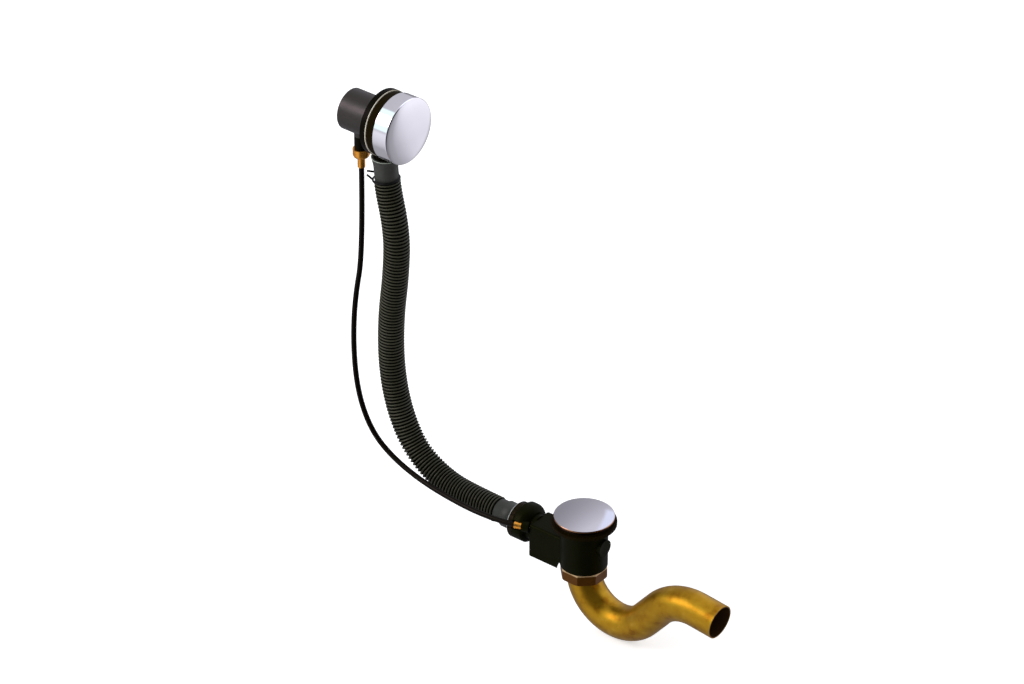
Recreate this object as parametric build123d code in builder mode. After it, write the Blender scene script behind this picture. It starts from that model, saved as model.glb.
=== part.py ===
"""Pop-up bath waste and overflow: a knob on the overflow works the plug through a cable.

Millimetres. +Z is up and +X runs from the overflow to the waste, the way the knob faces. The origin is
on the waste's axis, at the level where the bath floor is clamped between the two waste gaskets.
"""

import math
import os

from build123d import *

os.makedirs("parts", exist_ok=True)

# Place of the overflow, and the clearances between pieces
knob_face_x = -238.0
overflow_z = 390.0
running_gap = 0.05
seat_gap = 0.1
free_gap = 0.3

# Knob and spindle
knob_r = 37.25
knob_depth = 18.6
knob_wall = 1.8
knob_edge = 1.4
knob_dome = 2.4
knob_gap = 0.8
insert_thickness = 4.0
insert_hub_r = 8.0
insert_hub_length = 9.0
spindle_r = 4.0
spindle_flat = 1.0

# Wall seal and faceplate
gasket_r = 35.8
gasket_width = 7.3
gasket_thickness = 10.0
gasket_edge = 1.2
slip_washer_r = 36.3
slip_washer_thickness = 1.0
faceplate_r = 33.0
faceplate_thickness = 2.0
faceplate_screw_r = 2.0
faceplate_screw_head_r = 3.8
faceplate_screw_grip = 4.0
water_slot_count = 4
water_slot_r = 14.5
water_slot_width = 6.0
water_slot_arc_deg = 54.0
bush_wall = 2.4
bush_collar = 2.0
bush_length = 8.0

# Overflow housing
flange_r = 36.6
flange_thickness = 6.5
barrel_r = 23.0
barrel_wall = 3.0
barrel_length = 43.0
water_chamber_depth = 17.0
partition_thickness = 5.5
rear_cap_thickness = 3.5
rear_cap_boss_r = 8.0
rear_cap_boss_length = 5.0
gusset_count = 8
gusset_reach = 5.0
gusset_thickness = 1.8
o_ring_r = 1.0
seal_retainer_thickness = 1.2

# Hose outlet under the overflow
outlet_setback = 2.6
outlet_spigot_r = 11.5
outlet_spigot_wall = 2.5
outlet_spigot_length = 22.0
outlet_shoe_depth = 4.4
outlet_drop_r = 8.8
outlet_drop_wall = 2.2
outlet_roof = 2.0

# Cable drum, and the cable's fittings at the overflow
wire_r = 0.75
drum_groove_r = 5.2
drum_flange_r = 10.0
drum_width = 8.0
drum_groove_width = 2.4
drum_hub_r = 8.0
drum_hub_length = 5.0
drum_cap_gap = 0.8
grub_screw_r = 1.5
wire_turn_deg = 300.0
clip_width = 1.6
clip_thickness = 1.0
cable_r = 3.0
cable_spigot_r = 7.3
cable_spigot_bore_r = 3.0
cable_spigot_drop = 43.5
gland_nut_r = 9.2
gland_nut_height = 10.5
gland_nut_thread = 4.5
gland_nut_dome = 4.0
ferrule_r = 4.2
ferrule_collar_r = 6.4
ferrule_collar_thickness = 2.0
ferrule_reach = 12.0
ferrule_socket = 6.0
ferrule_bore_r = 1.0

# Ribbed hose, with its bends placed from the overflow's outlet and from the waste's inlet, and its tie
hose_gap = 0.2
hose_wall = 0.9
hose_rib_height = 1.6
hose_rib_pitch = 4.3
hose_neck_wall = 1.5
hose_flare = 1.7
hose_flare_length = 3.0
hose_upper_cuff = 28.0
hose_lower_cuff = 48.0
hose_cuff_wall = 1.5
hose_collar_wall = 3.1
hose_collar_start = 38.0
hose_collar_length = 14.4
hose_collar_slope = 1.2
hose_upper_bends = [(0, -27), (14.5, -87), (12.5, -139), (4, -199)]
hose_lower_bends = [(-198.5, 125.5), (-188.5, 74), (-166, 31), (-127, 6), (-81, 0)]
tie_wire_r = 1.1
tie_strand_bearing = -52.0
tie_strand_run = (-14.0, -11.0, 2.5)
tie_end_bearing = -129.0
tie_end_run = (-8.0, 0.0, 3.0)

# Waste: plug, flange and gaskets
plug_r = 33.0
plug_rim_z = 7.0
plug_rim_thickness = 2.2
plug_dome = 3.0
plug_boss_r = 8.0
plug_boss_depth = 3.0
plug_lift = 10.0
plug_overhang = 1.0
plug_seal_width = 4.5
waste_flange_thickness = 2.3
waste_flange_recess = 2.8
waste_flange_dish = 1.2
throat_wall = 2.0
throat_gap = 0.3
throat_depth = 14.0
guide_hub_r = 7.0
guide_spoke_count = 3
guide_spoke_width = 4.0
guide_spoke_depth = 6.0
guide_below_recess = 7.5
upper_gasket_thickness = 2.0
lower_gasket_r = 35.3
lower_gasket_thickness = 3.5
stem_r = 4.0
stem_foot_r = 6.0
stem_foot_thickness = 3.0
lock_nut_across = 13.0
lock_nut_thickness = 3.0

# Waste body with its lever box and inlet
body_step = 4.2
body_wall = 3.7
body_flange_r = 31.0
body_flange_thickness = 3.0
body_bottom_z = -57.5
body_neck_wall = 3.6
side_boss_r = 9.5
side_boss_z = -24.0
side_boss_reach = 3.0
box_left_x = -63.0
box_half_width = 17.0
box_top_z = -23.2
box_bottom_z = -63.0
box_wall = 2.4
box_roof = 1.8
box_edge = 3.0
box_pip_r = 0.9
box_pip_height = 0.4
box_pip_inset = 8.0
box_pip_rise = 4.0
cover_thickness = 2.5
cover_ledge = 0.9
cover_screw_r = 1.5
cover_screw_head_r = 2.6
cover_screw_head = 1.4
cover_screw_grip = 7.0
cover_post_r = 3.2
cover_post_height = 9.0
hood_r = 23.6
hood_slope_length = 3.5
hood_crest_length = 5.3
hood_foot_reach = 3.0
inlet_z = -36.5
inlet_neck_wall = 1.5
inlet_thread_wall = 3.5
inlet_collar_setback = 8.2
inlet_collar_length = 12.8
inlet_collar_edge = 1.5
inlet_hose_depth = 18.4
inlet_passage_r = 10.5
union_nut_wall = 3.3
union_nut_length = 5.5
union_nut_lip = 1.4
union_grip_count = 16
union_grip_r = 1.2
inlet_seal_thickness = 1.0
inlet_seal_neck = 1.1
inlet_seal_flange_r = 19.0
inlet_seal_reach = 1.6

# Lever, pull wire and the cable's entry beside the inlet
lever_pivot_x = -25.0
lever_pivot_z = -46.0
lever_pin_r = 2.5
lever_hub_wall = 2.4
lever_hub_front_y = -8.5
lever_hub_back_y = 13.2
lever_tip_r = 3.0
lever_arm_width = 6.0
lever_arm_r = 2.0
lever_post_height = 20.2
lever_post_width = 7.0
lever_post_back_y = 10.0
lever_slot_front_y = -3.9
lever_slot_back_y = 5.3
lever_slot_start = 9.0
pin_boss_wall = 2.5
pin_blind = 1.4
wire_bar_r = 2.5
wire_bar_length = 17.5
cable_entry_reach = 3.5
cable_entry_y = -15.9
cable_entry_z = -28.5
cable_skew_deg = 21.0
cable_boss_wall = 1.8
cable_boss_reach = 4.5
cable_pocket_gap = 1.0
lower_ferrule_r = 4.2
lower_ferrule_outside = 13.0
lower_ferrule_inside = 2.5
wire_passage_r = 1.6
wire_insertion = 1.5

# Brass coupling and trap pipe
coupling_gap = 0.2
coupling_nut_wall = 2.4
coupling_nut_sides = 8
coupling_nut_height = 13.3
coupling_nut_lip = 6.5
coupling_hole_gap = 0.8
coupling_nut_room = 2.5
coupling_nut_chamfer = 0.9
coupling_washer_thickness = 2.5
pipe_r = 19.05
pipe_wall = 1.5
pipe_collar_rim = 2.35
pipe_collar_thickness = 2.0
pipe_first_bend_r = 47.0
pipe_first_turn_deg = 140.0
pipe_rise = 30.0
pipe_second_bend_r = 58.0
pipe_second_turn_deg = 56.0
pipe_outlet_length = 29.0

# Control cable: its straight ends, and the points that its sheath bends round between them
cable_drop = 110.0
cable_run_in = 18.0
cable_bends = [
    (-309.0, -11.0, 160.0),
    (-309.5, -14.0, 100.0),
    (-302.0, -16.0, 46.0),
    (-281.0, -19.0, 8.0),
    (-250.0, -20.5, -13.0),
    (-205.0, -22.0, -26.5),
    (-150.0, -26.0, -29.3),
    (-115.0, -27.0, -28.6),
]

# Stations along the overflow's axis, from the knob back to the rear cap
knob_bore_r = knob_r - knob_wall
knob_back_x = knob_face_x - knob_depth
knob_floor_x = knob_face_x - knob_wall
insert_back_x = knob_floor_x - insert_thickness - insert_hub_length
gasket_front_x = knob_back_x - knob_gap
gasket_hole_r = gasket_r - gasket_width
washer_front_x = gasket_front_x - gasket_thickness
flange_front_x = washer_front_x - slip_washer_thickness
barrel_front_x = flange_front_x - flange_thickness
barrel_back_x = barrel_front_x - barrel_length
barrel_bore_r = barrel_r - barrel_wall
partition_front_x = flange_front_x - water_chamber_depth
partition_back_x = partition_front_x - partition_thickness
rear_cap_front_x = barrel_back_x + rear_cap_thickness
spindle_front_x = knob_floor_x - insert_thickness / 2
spindle_back_x = rear_cap_front_x - rear_cap_thickness / 2
screw_circle_r = (barrel_bore_r + gasket_hole_r) / 2
bush_r = spindle_r + running_gap + bush_wall
gland_r = spindle_r + running_gap + 2 * o_ring_r + seat_gap
gland_depth = 2 * o_ring_r + seal_retainer_thickness + seat_gap

# Hose outlet and cable spigot under the overflow
outlet_x = flange_front_x - outlet_setback
outlet_drop_x = flange_front_x - outlet_drop_r - seat_gap
outlet_top_z = overflow_z - flange_r
shoe_bottom_z = outlet_top_z - outlet_shoe_depth
cuff_top_z = shoe_bottom_z - free_gap
drop_bore_z = outlet_top_z - 1.5 * outlet_roof
chamber_z = overflow_z - barrel_bore_r / 2
drum_hub_back_x = rear_cap_front_x + rear_cap_boss_length + drum_cap_gap
drum_x = drum_hub_back_x + drum_hub_length + drum_width / 2
drum_front_x = drum_x + drum_width / 2
drum_back_x = drum_x - drum_width / 2
grub_screw_x = drum_back_x - drum_hub_length / 2
drum_wire_r = drum_groove_r + wire_r + running_gap
cable_y = -drum_wire_r
spigot_end_z = overflow_z - cable_spigot_drop
gland_top_z = spigot_end_z + gland_nut_thread
gland_bottom_z = gland_top_z - gland_nut_height
ferrule_end_z = gland_bottom_z - ferrule_reach
sheath_top_z = ferrule_end_z + ferrule_socket
wire_clear_r = drum_wire_r + 2 * wire_r + free_gap
upper_wire_z = overflow_z - math.sqrt(wire_clear_r**2 - drum_wire_r**2)

# Radii and heights of the waste, from the pipe's collar up to the plug
pipe_collar_r = pipe_r + pipe_collar_rim
pipe_bore_r = pipe_r - pipe_wall
thread_r = pipe_collar_r + coupling_gap
neck_bore_r = thread_r - body_neck_wall
body_r = thread_r + body_step
body_bore_r = body_r - body_wall
throat_r = body_bore_r - throat_gap
throat_bore_r = throat_r - throat_wall
recess_r = throat_bore_r + plug_seal_width + 2 * free_gap
dish_r = recess_r + waste_flange_dish
waste_flange_r = plug_r - plug_overhang
plug_under_z = plug_rim_z - plug_rim_thickness
waste_flange_top_z = upper_gasket_thickness + waste_flange_thickness
flange_recess_z = waste_flange_top_z - waste_flange_recess
guide_top_z = flange_recess_z - guide_below_recess
body_top_z = -lower_gasket_thickness
washer_bottom_z = body_bottom_z - coupling_washer_thickness
collar_bottom_z = washer_bottom_z - pipe_collar_thickness
nut_bottom_z = collar_bottom_z - coupling_nut_lip
nut_top_z = nut_bottom_z + coupling_nut_height
nut_flat_r = thread_r + seat_gap + coupling_nut_wall
nut_corner_r = nut_flat_r / math.cos(math.pi / coupling_nut_sides)
nut_room_r = nut_corner_r + coupling_nut_room
nut_room_z = nut_top_z + free_gap

# The lever box and the hose inlet
box_ceiling_z = box_top_z - box_roof
box_floor_z = box_bottom_z + cover_thickness
cavity_left_x = box_left_x + box_wall
cavity_right_x = -nut_room_r - box_wall / 2
cavity_mid_x = (cavity_left_x + cavity_right_x) / 2
cavity_length = cavity_right_x - cavity_left_x
cavity_half_width = box_half_width - box_wall
window_floor_z = nut_room_z + 0.7 * box_wall
window_front_y = lever_hub_front_y - free_gap
window_back_y = lever_hub_back_y + free_gap
cover_post_inset = cover_post_r - box_wall / 2
cover_post_xs = (cavity_left_x + cover_post_inset, cavity_right_x - 2 * cover_post_r)
cover_post_ys = (cover_post_inset - cavity_half_width, cavity_half_width - cover_post_inset)
hose_bore_r = outlet_spigot_r + hose_gap
hose_cuff_r = hose_bore_r + hose_cuff_wall
hose_collar_r = hose_bore_r + hose_collar_wall
inlet_bore_r = hose_cuff_r + hose_gap
inlet_neck_r = inlet_bore_r + inlet_neck_wall
inlet_thread_r = inlet_bore_r + inlet_thread_wall
seal_bore_r = hose_cuff_r + seat_gap
union_nut_r = inlet_thread_r + seat_gap + union_nut_wall
collar_right_x = box_left_x - inlet_collar_setback
collar_left_x = collar_right_x - inlet_collar_length
hood_crest_x = collar_left_x + hood_slope_length
hood_shoulder_x = hood_crest_x + hood_crest_length
hood_foot_x = box_left_x - hood_foot_reach
inlet_root_x = box_left_x + box_wall
union_right_x = collar_left_x - free_gap
union_left_x = union_right_x - union_nut_length
union_floor_x = union_left_x + union_nut_lip
inlet_left_x = union_floor_x + inlet_seal_thickness
hose_end_x = inlet_left_x + inlet_hose_depth

# Swing of the lever, and the places of what it moves
lever_reach = -lever_pivot_x
lever_hub_r = lever_pin_r + running_gap + lever_hub_wall
lever_pin_depth = 2 * box_half_width - box_wall + pin_blind
pin_boss_r = lever_pin_r + pin_boss_wall
half_swing = math.asin(plug_lift / 2 / lever_reach)
wire_height = cable_entry_z - lever_pivot_z
tip_top_z = lever_pivot_z - plug_lift / 2 + lever_tip_r
stem_bottom_z = tip_top_z + free_gap
bar_lean = (lever_post_width / 2 + wire_bar_r + free_gap) / math.cos(half_swing)
bar_x = lever_pivot_x + wire_height * math.tan(half_swing) + bar_lean
skew = math.radians(cable_skew_deg)
entry_dir = Vector(math.cos(skew), math.sin(skew), 0)
entry_x = box_left_x - cable_entry_reach
entry_point = Vector(entry_x, cable_entry_y, cable_entry_z)
bar_along = (bar_x - entry_x) / math.cos(skew)
bar_y = cable_entry_y + bar_along * math.sin(skew)
wire_start = lower_ferrule_inside - wire_insertion

# Planes and axes that the pieces share
overflow_half = Plane(origin=(0, 0, overflow_z), x_dir=(1, 0, 0), z_dir=(0, -1, 0))
overflow_level = Plane(origin=(0, 0, overflow_z))
overflow_axis = Axis((0, 0, overflow_z), (1, 0, 0))
inlet_half = Plane(origin=(0, 0, inlet_z), x_dir=(1, 0, 0), z_dir=(0, -1, 0))
inlet_axis = Axis((0, 0, inlet_z), (1, 0, 0))
cable_half = Plane(origin=(drum_x, cable_y, 0), x_dir=(1, 0, 0), z_dir=(0, -1, 0))
cable_axis = Axis((drum_x, cable_y, 0), (0, 0, 1))


def overflow_section(x):
    """A plane across the overflow's axis at x, facing the bath."""
    return Plane(origin=(x, 0, overflow_z), x_dir=(0, 1, 0), z_dir=(1, 0, 0))


def overflow_radial(angle):
    """A plane through the overflow's axis, turned that angle from upright, with its y outwards."""
    facing = (0, -math.cos(angle), -math.sin(angle))
    return Plane(origin=(0, 0, overflow_z), x_dir=(1, 0, 0), z_dir=facing)


def inlet_section(x):
    """A plane across the hose inlet's axis at x, facing the waste."""
    return Plane(origin=(x, 0, inlet_z), x_dir=(0, 1, 0), z_dir=(1, 0, 0))


def level(z, x=0.0, y=0.0):
    """A level plane at z, centred on (x, y)."""
    return Plane(origin=(x, y, z))


def upright(x, y, z):
    """An upright plane centred on (x, y, z) that faces the back of the box."""
    return Plane(origin=(x, y, z), x_dir=(1, 0, 0), z_dir=(0, 1, 0))


def entry_section(along):
    """A plane across the cable's entry, that far in from the entry point."""
    return Plane(origin=entry_point + entry_dir * along, x_dir=(0, 0, 1), z_dir=entry_dir)


def lever_side(y):
    """The lever's own plane at y, with its x along the lifting arm at rest."""
    arm = (math.cos(half_swing), 0, -math.sin(half_swing))
    return Plane(origin=(lever_pivot_x, y, lever_pivot_z), x_dir=arm, z_dir=(0, -1, 0))


def ring_face(plane, outer_r, inner_r=0.0):
    """A disc, or a ring where it has an inner radius."""
    with BuildSketch(plane) as face:
        Circle(outer_r)
        if inner_r > 0:
            Circle(inner_r, mode=Mode.SUBTRACT)
    return face.sketch


def outline_face(plane, *points):
    """A closed outline of straight sides."""
    with BuildSketch(plane) as face:
        with BuildLine():
            Polyline(*points, close=True)
        make_face()
    return face.sketch


def bend_radii(points):
    """The bend at each inner point: as wide as nearly half of the shorter run beside it allows."""
    radii = []
    for before, here, after in zip(points, points[1:], points[2:]):
        run_in = Vector(*here) - Vector(*before)
        run_out = Vector(*after) - Vector(*here)
        half_turn = math.radians(run_in.get_angle(run_out)) / 2
        radii.append(0.45 * min(run_in.length, run_out.length) / math.tan(half_turn))
    return radii


# Control knob: a chromed cap with a low dome and a crisp front edge
with BuildPart() as control_knob:
    with BuildSketch(overflow_half):
        with BuildLine():
            TangentArc((knob_face_x + knob_dome, 0), (knob_face_x, knob_r - knob_edge), tangent=(0, 1))
            CenterArc((knob_face_x - knob_edge, knob_r - knob_edge), knob_edge, 0, 90)
            Polyline(
                (knob_face_x - knob_edge, knob_r),
                (knob_back_x, knob_r),
                (knob_back_x, knob_bore_r),
                (knob_floor_x, knob_bore_r),
                (knob_floor_x, 0),
                (knob_face_x + knob_dome, 0),
            )
        make_face()
    revolve(axis=overflow_axis)
control_knob.part.label = "control_knob"
export_step(control_knob.part, "parts/control_knob.step")

# Knob insert: a moulded disc set in the cap, with a hub on the spindle's flat
with BuildPart() as knob_insert:
    extrude(ring_face(overflow_section(knob_floor_x), knob_bore_r - seat_gap), amount=-insert_thickness)
    extrude(ring_face(overflow_section(insert_back_x), insert_hub_r), amount=insert_hub_length)
    with BuildSketch(overflow_section(insert_back_x)):
        Circle(spindle_r + running_gap)
        with Locations((0, spindle_r)):
            Rectangle(2 * spindle_r, 2 * (spindle_flat - running_gap), mode=Mode.SUBTRACT)
    extrude(amount=spindle_front_x - insert_back_x, mode=Mode.SUBTRACT)
knob_insert.part.label = "knob_insert"
export_step(knob_insert.part, "parts/knob_insert.step")

# Spindle: a rod from the knob through the partition to the rear cap, with a flat for the knob
with BuildPart() as spindle:
    extrude(ring_face(overflow_section(spindle_back_x), spindle_r), amount=spindle_front_x - spindle_back_x)
    with BuildSketch(overflow_section(insert_back_x)):
        with Locations((0, spindle_r)):
            Rectangle(2 * spindle_r, 2 * spindle_flat)
    extrude(amount=spindle_front_x - insert_back_x, mode=Mode.SUBTRACT)
spindle.part.label = "spindle"
export_step(spindle.part, "parts/spindle.step")

# Overflow gasket: a thick rubber ring that seals on the back of the bath wall
with BuildPart() as overflow_gasket:
    extrude(ring_face(overflow_section(gasket_front_x), gasket_r, gasket_hole_r), amount=-gasket_thickness)
    fillet(overflow_gasket.edges().filter_by(GeomType.CIRCLE).group_by(SortBy.RADIUS)[-1], gasket_edge)
overflow_gasket.part.label = "overflow_gasket"
export_step(overflow_gasket.part, "parts/overflow_gasket.step")

# Slip washer between the gasket and the housing's flange
with BuildPart() as slip_washer:
    extrude(
        ring_face(overflow_section(washer_front_x), slip_washer_r, gasket_hole_r),
        amount=-slip_washer_thickness,
    )
slip_washer.part.label = "slip_washer"
export_step(slip_washer.part, "parts/slip_washer.step")

# Faceplate: a stainless disc with arc slots for the water and two countersunk screw holes
water_slot_arc = CenterArc((0, 0), water_slot_r, -water_slot_arc_deg / 2, water_slot_arc_deg)
with BuildPart() as faceplate:
    extrude(
        ring_face(overflow_section(gasket_front_x), faceplate_r, bush_r + seat_gap),
        amount=faceplate_thickness,
    )
    with BuildSketch(overflow_section(gasket_front_x)):
        with PolarLocations(0, water_slot_count, start_angle=180 / water_slot_count):
            SlotArc(water_slot_arc, water_slot_width)
    extrude(amount=faceplate_thickness, mode=Mode.SUBTRACT)
    with Locations(overflow_section(gasket_front_x + faceplate_thickness)):
        with PolarLocations(screw_circle_r, 2):
            CounterSinkHole(faceplate_screw_r + seat_gap, faceplate_screw_head_r)
faceplate.part.label = "faceplate"
export_step(faceplate.part, "parts/faceplate.step")

# Faceplate screws: two countersunk screws through the gasket into the housing's flange
screw_head_x = gasket_front_x + faceplate_thickness - seat_gap
screw_tip_x = flange_front_x - faceplate_screw_grip
shank_top_x = screw_head_x - (faceplate_screw_head_r - faceplate_screw_r)
with BuildPart() as faceplate_screws:
    revolve(
        outline_face(
            overflow_level,
            (screw_tip_x, screw_circle_r),
            (screw_tip_x, screw_circle_r + faceplate_screw_r),
            (shank_top_x, screw_circle_r + faceplate_screw_r),
            (screw_head_x, screw_circle_r + faceplate_screw_head_r - seat_gap),
            (screw_head_x, screw_circle_r),
        ),
        axis=Axis((0, screw_circle_r, overflow_z), (1, 0, 0)),
    )
    mirror(about=Plane.XZ)
faceplate_screws.part.label = "faceplate_screws"
export_step(faceplate_screws.part, "parts/faceplate_screws.step")

# Spindle bush: a collared bearing set in the middle of the faceplate
bush_front_x = gasket_front_x + faceplate_thickness
with BuildPart() as spindle_bush:
    extrude(ring_face(overflow_section(bush_front_x), bush_r), amount=-bush_length)
    extrude(ring_face(overflow_section(gasket_front_x), bush_r + bush_collar), amount=-bush_collar)
    extrude(
        ring_face(overflow_section(bush_front_x), spindle_r + running_gap),
        amount=-bush_length,
        mode=Mode.SUBTRACT,
    )
spindle_bush.part.label = "spindle_bush"
export_step(spindle_bush.part, "parts/spindle_bush.step")

# Overflow housing: flange, barrel with two chambers, hose outlet and cable spigot, moulded as one
with BuildPart() as overflow_housing:
    extrude(ring_face(overflow_section(flange_front_x), flange_r), amount=-flange_thickness)
    extrude(ring_face(overflow_section(barrel_front_x), barrel_r), amount=-barrel_length)
    for gusset in range(gusset_count):
        extrude(
            outline_face(
                overflow_radial(math.tau * (gusset + 0.5) / gusset_count),
                (barrel_front_x, barrel_bore_r),
                (barrel_front_x, barrel_r + gusset_reach),
                (barrel_front_x - gusset_reach, barrel_r),
                (barrel_front_x - gusset_reach, barrel_bore_r),
            ),
            amount=gusset_thickness / 2,
            both=True,
        )
    extrude(ring_face(level(shoe_bottom_z, outlet_drop_x), outlet_drop_r), amount=chamber_z - shoe_bottom_z)
    extrude(ring_face(level(outlet_top_z, outlet_x), outlet_spigot_r), amount=-outlet_shoe_depth)
    extrude(ring_face(level(shoe_bottom_z, outlet_x), outlet_spigot_r), amount=-outlet_spigot_length)
    extrude(ring_face(level(spigot_end_z, drum_x, cable_y), cable_spigot_r), amount=chamber_z - spigot_end_z)
    extrude(
        ring_face(overflow_section(flange_front_x), barrel_bore_r),
        amount=-water_chamber_depth,
        mode=Mode.SUBTRACT,
    )
    extrude(
        ring_face(overflow_section(barrel_back_x), barrel_bore_r),
        amount=partition_back_x - barrel_back_x,
        mode=Mode.SUBTRACT,
    )
    extrude(
        ring_face(overflow_section(partition_front_x), spindle_r + running_gap),
        amount=-partition_thickness,
        mode=Mode.SUBTRACT,
    )
    extrude(ring_face(overflow_section(partition_front_x), gland_r), amount=-gland_depth, mode=Mode.SUBTRACT)
    extrude(
        ring_face(level(drop_bore_z, outlet_drop_x), outlet_drop_r - outlet_drop_wall),
        amount=chamber_z - drop_bore_z,
        mode=Mode.SUBTRACT,
    )
    extrude(
        ring_face(level(outlet_top_z - outlet_roof, outlet_x), outlet_spigot_r - outlet_spigot_wall),
        amount=-outlet_shoe_depth - outlet_spigot_length,
        mode=Mode.SUBTRACT,
    )
    extrude(
        ring_face(level(spigot_end_z, drum_x, cable_y), cable_spigot_bore_r),
        amount=chamber_z - spigot_end_z,
        mode=Mode.SUBTRACT,
    )
    with Locations(overflow_section(flange_front_x)):
        with PolarLocations(screw_circle_r, 2):
            Hole(faceplate_screw_r + seat_gap, depth=faceplate_screw_grip + free_gap)
overflow_housing.part.label = "overflow_housing"
export_step(overflow_housing.part, "parts/overflow_housing.step")

# Spindle O-ring in its gland in the partition, and the washer that keeps it there
with BuildPart() as spindle_o_ring:
    with Locations(overflow_section(partition_front_x - gland_depth + o_ring_r)):
        Torus(spindle_r + running_gap + o_ring_r, o_ring_r)
spindle_o_ring.part.label = "spindle_o_ring"
export_step(spindle_o_ring.part, "parts/spindle_o_ring.step")

with BuildPart() as seal_retainer:
    extrude(
        ring_face(overflow_section(partition_front_x), gland_r - seat_gap, spindle_r + free_gap),
        amount=-seal_retainer_thickness,
    )
seal_retainer.part.label = "seal_retainer"
export_step(seal_retainer.part, "parts/seal_retainer.step")

# Rear cap: a disc set in the back of the barrel, with a bearing boss for the spindle's end
with BuildPart() as rear_cap:
    extrude(
        ring_face(overflow_section(rear_cap_front_x), barrel_bore_r - seat_gap), amount=-rear_cap_thickness
    )
    extrude(ring_face(overflow_section(rear_cap_front_x), rear_cap_boss_r), amount=rear_cap_boss_length)
    extrude(
        ring_face(overflow_section(spindle_back_x - free_gap), spindle_r + running_gap),
        amount=rear_cap_thickness + rear_cap_boss_length,
        mode=Mode.SUBTRACT,
    )
rear_cap.part.label = "rear_cap"
export_step(rear_cap.part, "parts/rear_cap.step")

# Cable drum: a grooved wheel on the spindle, with a hub for its grub screw
with BuildPart() as cable_drum:
    revolve(
        outline_face(
            overflow_half,
            (drum_front_x, spindle_r + running_gap),
            (drum_front_x, drum_flange_r),
            (drum_x + drum_groove_width / 2, drum_flange_r),
            (drum_x + drum_groove_width / 2, drum_groove_r),
            (drum_x - drum_groove_width / 2, drum_groove_r),
            (drum_x - drum_groove_width / 2, drum_flange_r),
            (drum_back_x, drum_flange_r),
            (drum_back_x, drum_hub_r),
            (drum_back_x - drum_hub_length, drum_hub_r),
            (drum_back_x - drum_hub_length, spindle_r + running_gap),
        ),
        axis=overflow_axis,
    )
    extrude(
        ring_face(level(overflow_z, grub_screw_x), grub_screw_r + seat_gap),
        amount=drum_hub_r,
        mode=Mode.SUBTRACT,
    )
cable_drum.part.label = "cable_drum"
export_step(cable_drum.part, "parts/cable_drum.step")

# Grub screw that holds the drum on the spindle
with BuildPart() as drum_grub_screw:
    extrude(
        ring_face(level(overflow_z + spindle_r + running_gap, grub_screw_x), grub_screw_r),
        amount=drum_hub_r - spindle_r - 2 * running_gap,
    )
drum_grub_screw.part.label = "drum_grub_screw"
export_step(drum_grub_screw.part, "parts/drum_grub_screw.step")

# Turn of wire that lies in the drum's groove
with BuildPart() as drum_wire_turn:
    revolve(
        ring_face(upright(drum_x, 0, overflow_z + drum_wire_r), wire_r),
        axis=overflow_axis,
        revolution_arc=wire_turn_deg,
    )
drum_wire_turn.part.label = "drum_wire_turn"
export_step(drum_wire_turn.part, "parts/drum_wire_turn.step")

# Clip on the spindle that keeps it from being drawn out of the partition
with BuildPart() as spindle_clip:
    clip_bore_r = spindle_r + running_gap
    extrude(
        ring_face(overflow_section(partition_back_x - free_gap), clip_bore_r + clip_width, clip_bore_r),
        amount=-clip_thickness,
    )
spindle_clip.part.label = "spindle_clip"
export_step(spindle_clip.part, "parts/spindle_clip.step")

# Upper end of the wire, from the drum down into the ferrule
with BuildPart() as upper_wire:
    extrude(
        ring_face(level(upper_wire_z, drum_x, cable_y), wire_r),
        amount=sheath_top_z + free_gap - upper_wire_z,
    )
upper_wire.part.label = "upper_wire"
export_step(upper_wire.part, "parts/upper_wire.step")

# Cable gland nut: a domed brass nut on the cable spigot
gland_bore_r = cable_spigot_r + seat_gap
gland_floor_z = spigot_end_z - ferrule_collar_thickness - seat_gap
gland_mouth_r = ferrule_r + seat_gap
dome_start = (gland_nut_r, gland_bottom_z + gland_nut_dome)
dome_end = ((gland_mouth_r + gland_nut_r) / 2, gland_bottom_z)
with BuildPart() as cable_gland_nut:
    with BuildSketch(cable_half):
        with BuildLine():
            TangentArc(dome_start, dome_end, tangent=(0, -1))
            Polyline(
                dome_end,
                (gland_mouth_r, gland_bottom_z),
                (gland_mouth_r, gland_floor_z),
                (gland_bore_r, gland_floor_z),
                (gland_bore_r, gland_top_z),
                (gland_nut_r, gland_top_z),
                dome_start,
            )
        make_face()
    revolve(axis=cable_axis)
cable_gland_nut.part.label = "cable_gland_nut"
export_step(cable_gland_nut.part, "parts/cable_gland_nut.step")

# Upper ferrule: a brass sleeve that the nut clamps by its collar, with a socket for the sheath
with BuildPart() as upper_ferrule:
    revolve(
        outline_face(
            cable_half,
            (ferrule_bore_r, spigot_end_z),
            (ferrule_collar_r, spigot_end_z),
            (ferrule_collar_r, spigot_end_z - ferrule_collar_thickness),
            (ferrule_r, spigot_end_z - ferrule_collar_thickness),
            (ferrule_r, ferrule_end_z),
            (cable_r + running_gap, ferrule_end_z),
            (cable_r + running_gap, sheath_top_z),
            (ferrule_bore_r, sheath_top_z),
        ),
        axis=cable_axis,
    )
upper_ferrule.part.label = "upper_ferrule"
export_step(upper_ferrule.part, "parts/upper_ferrule.step")

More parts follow.
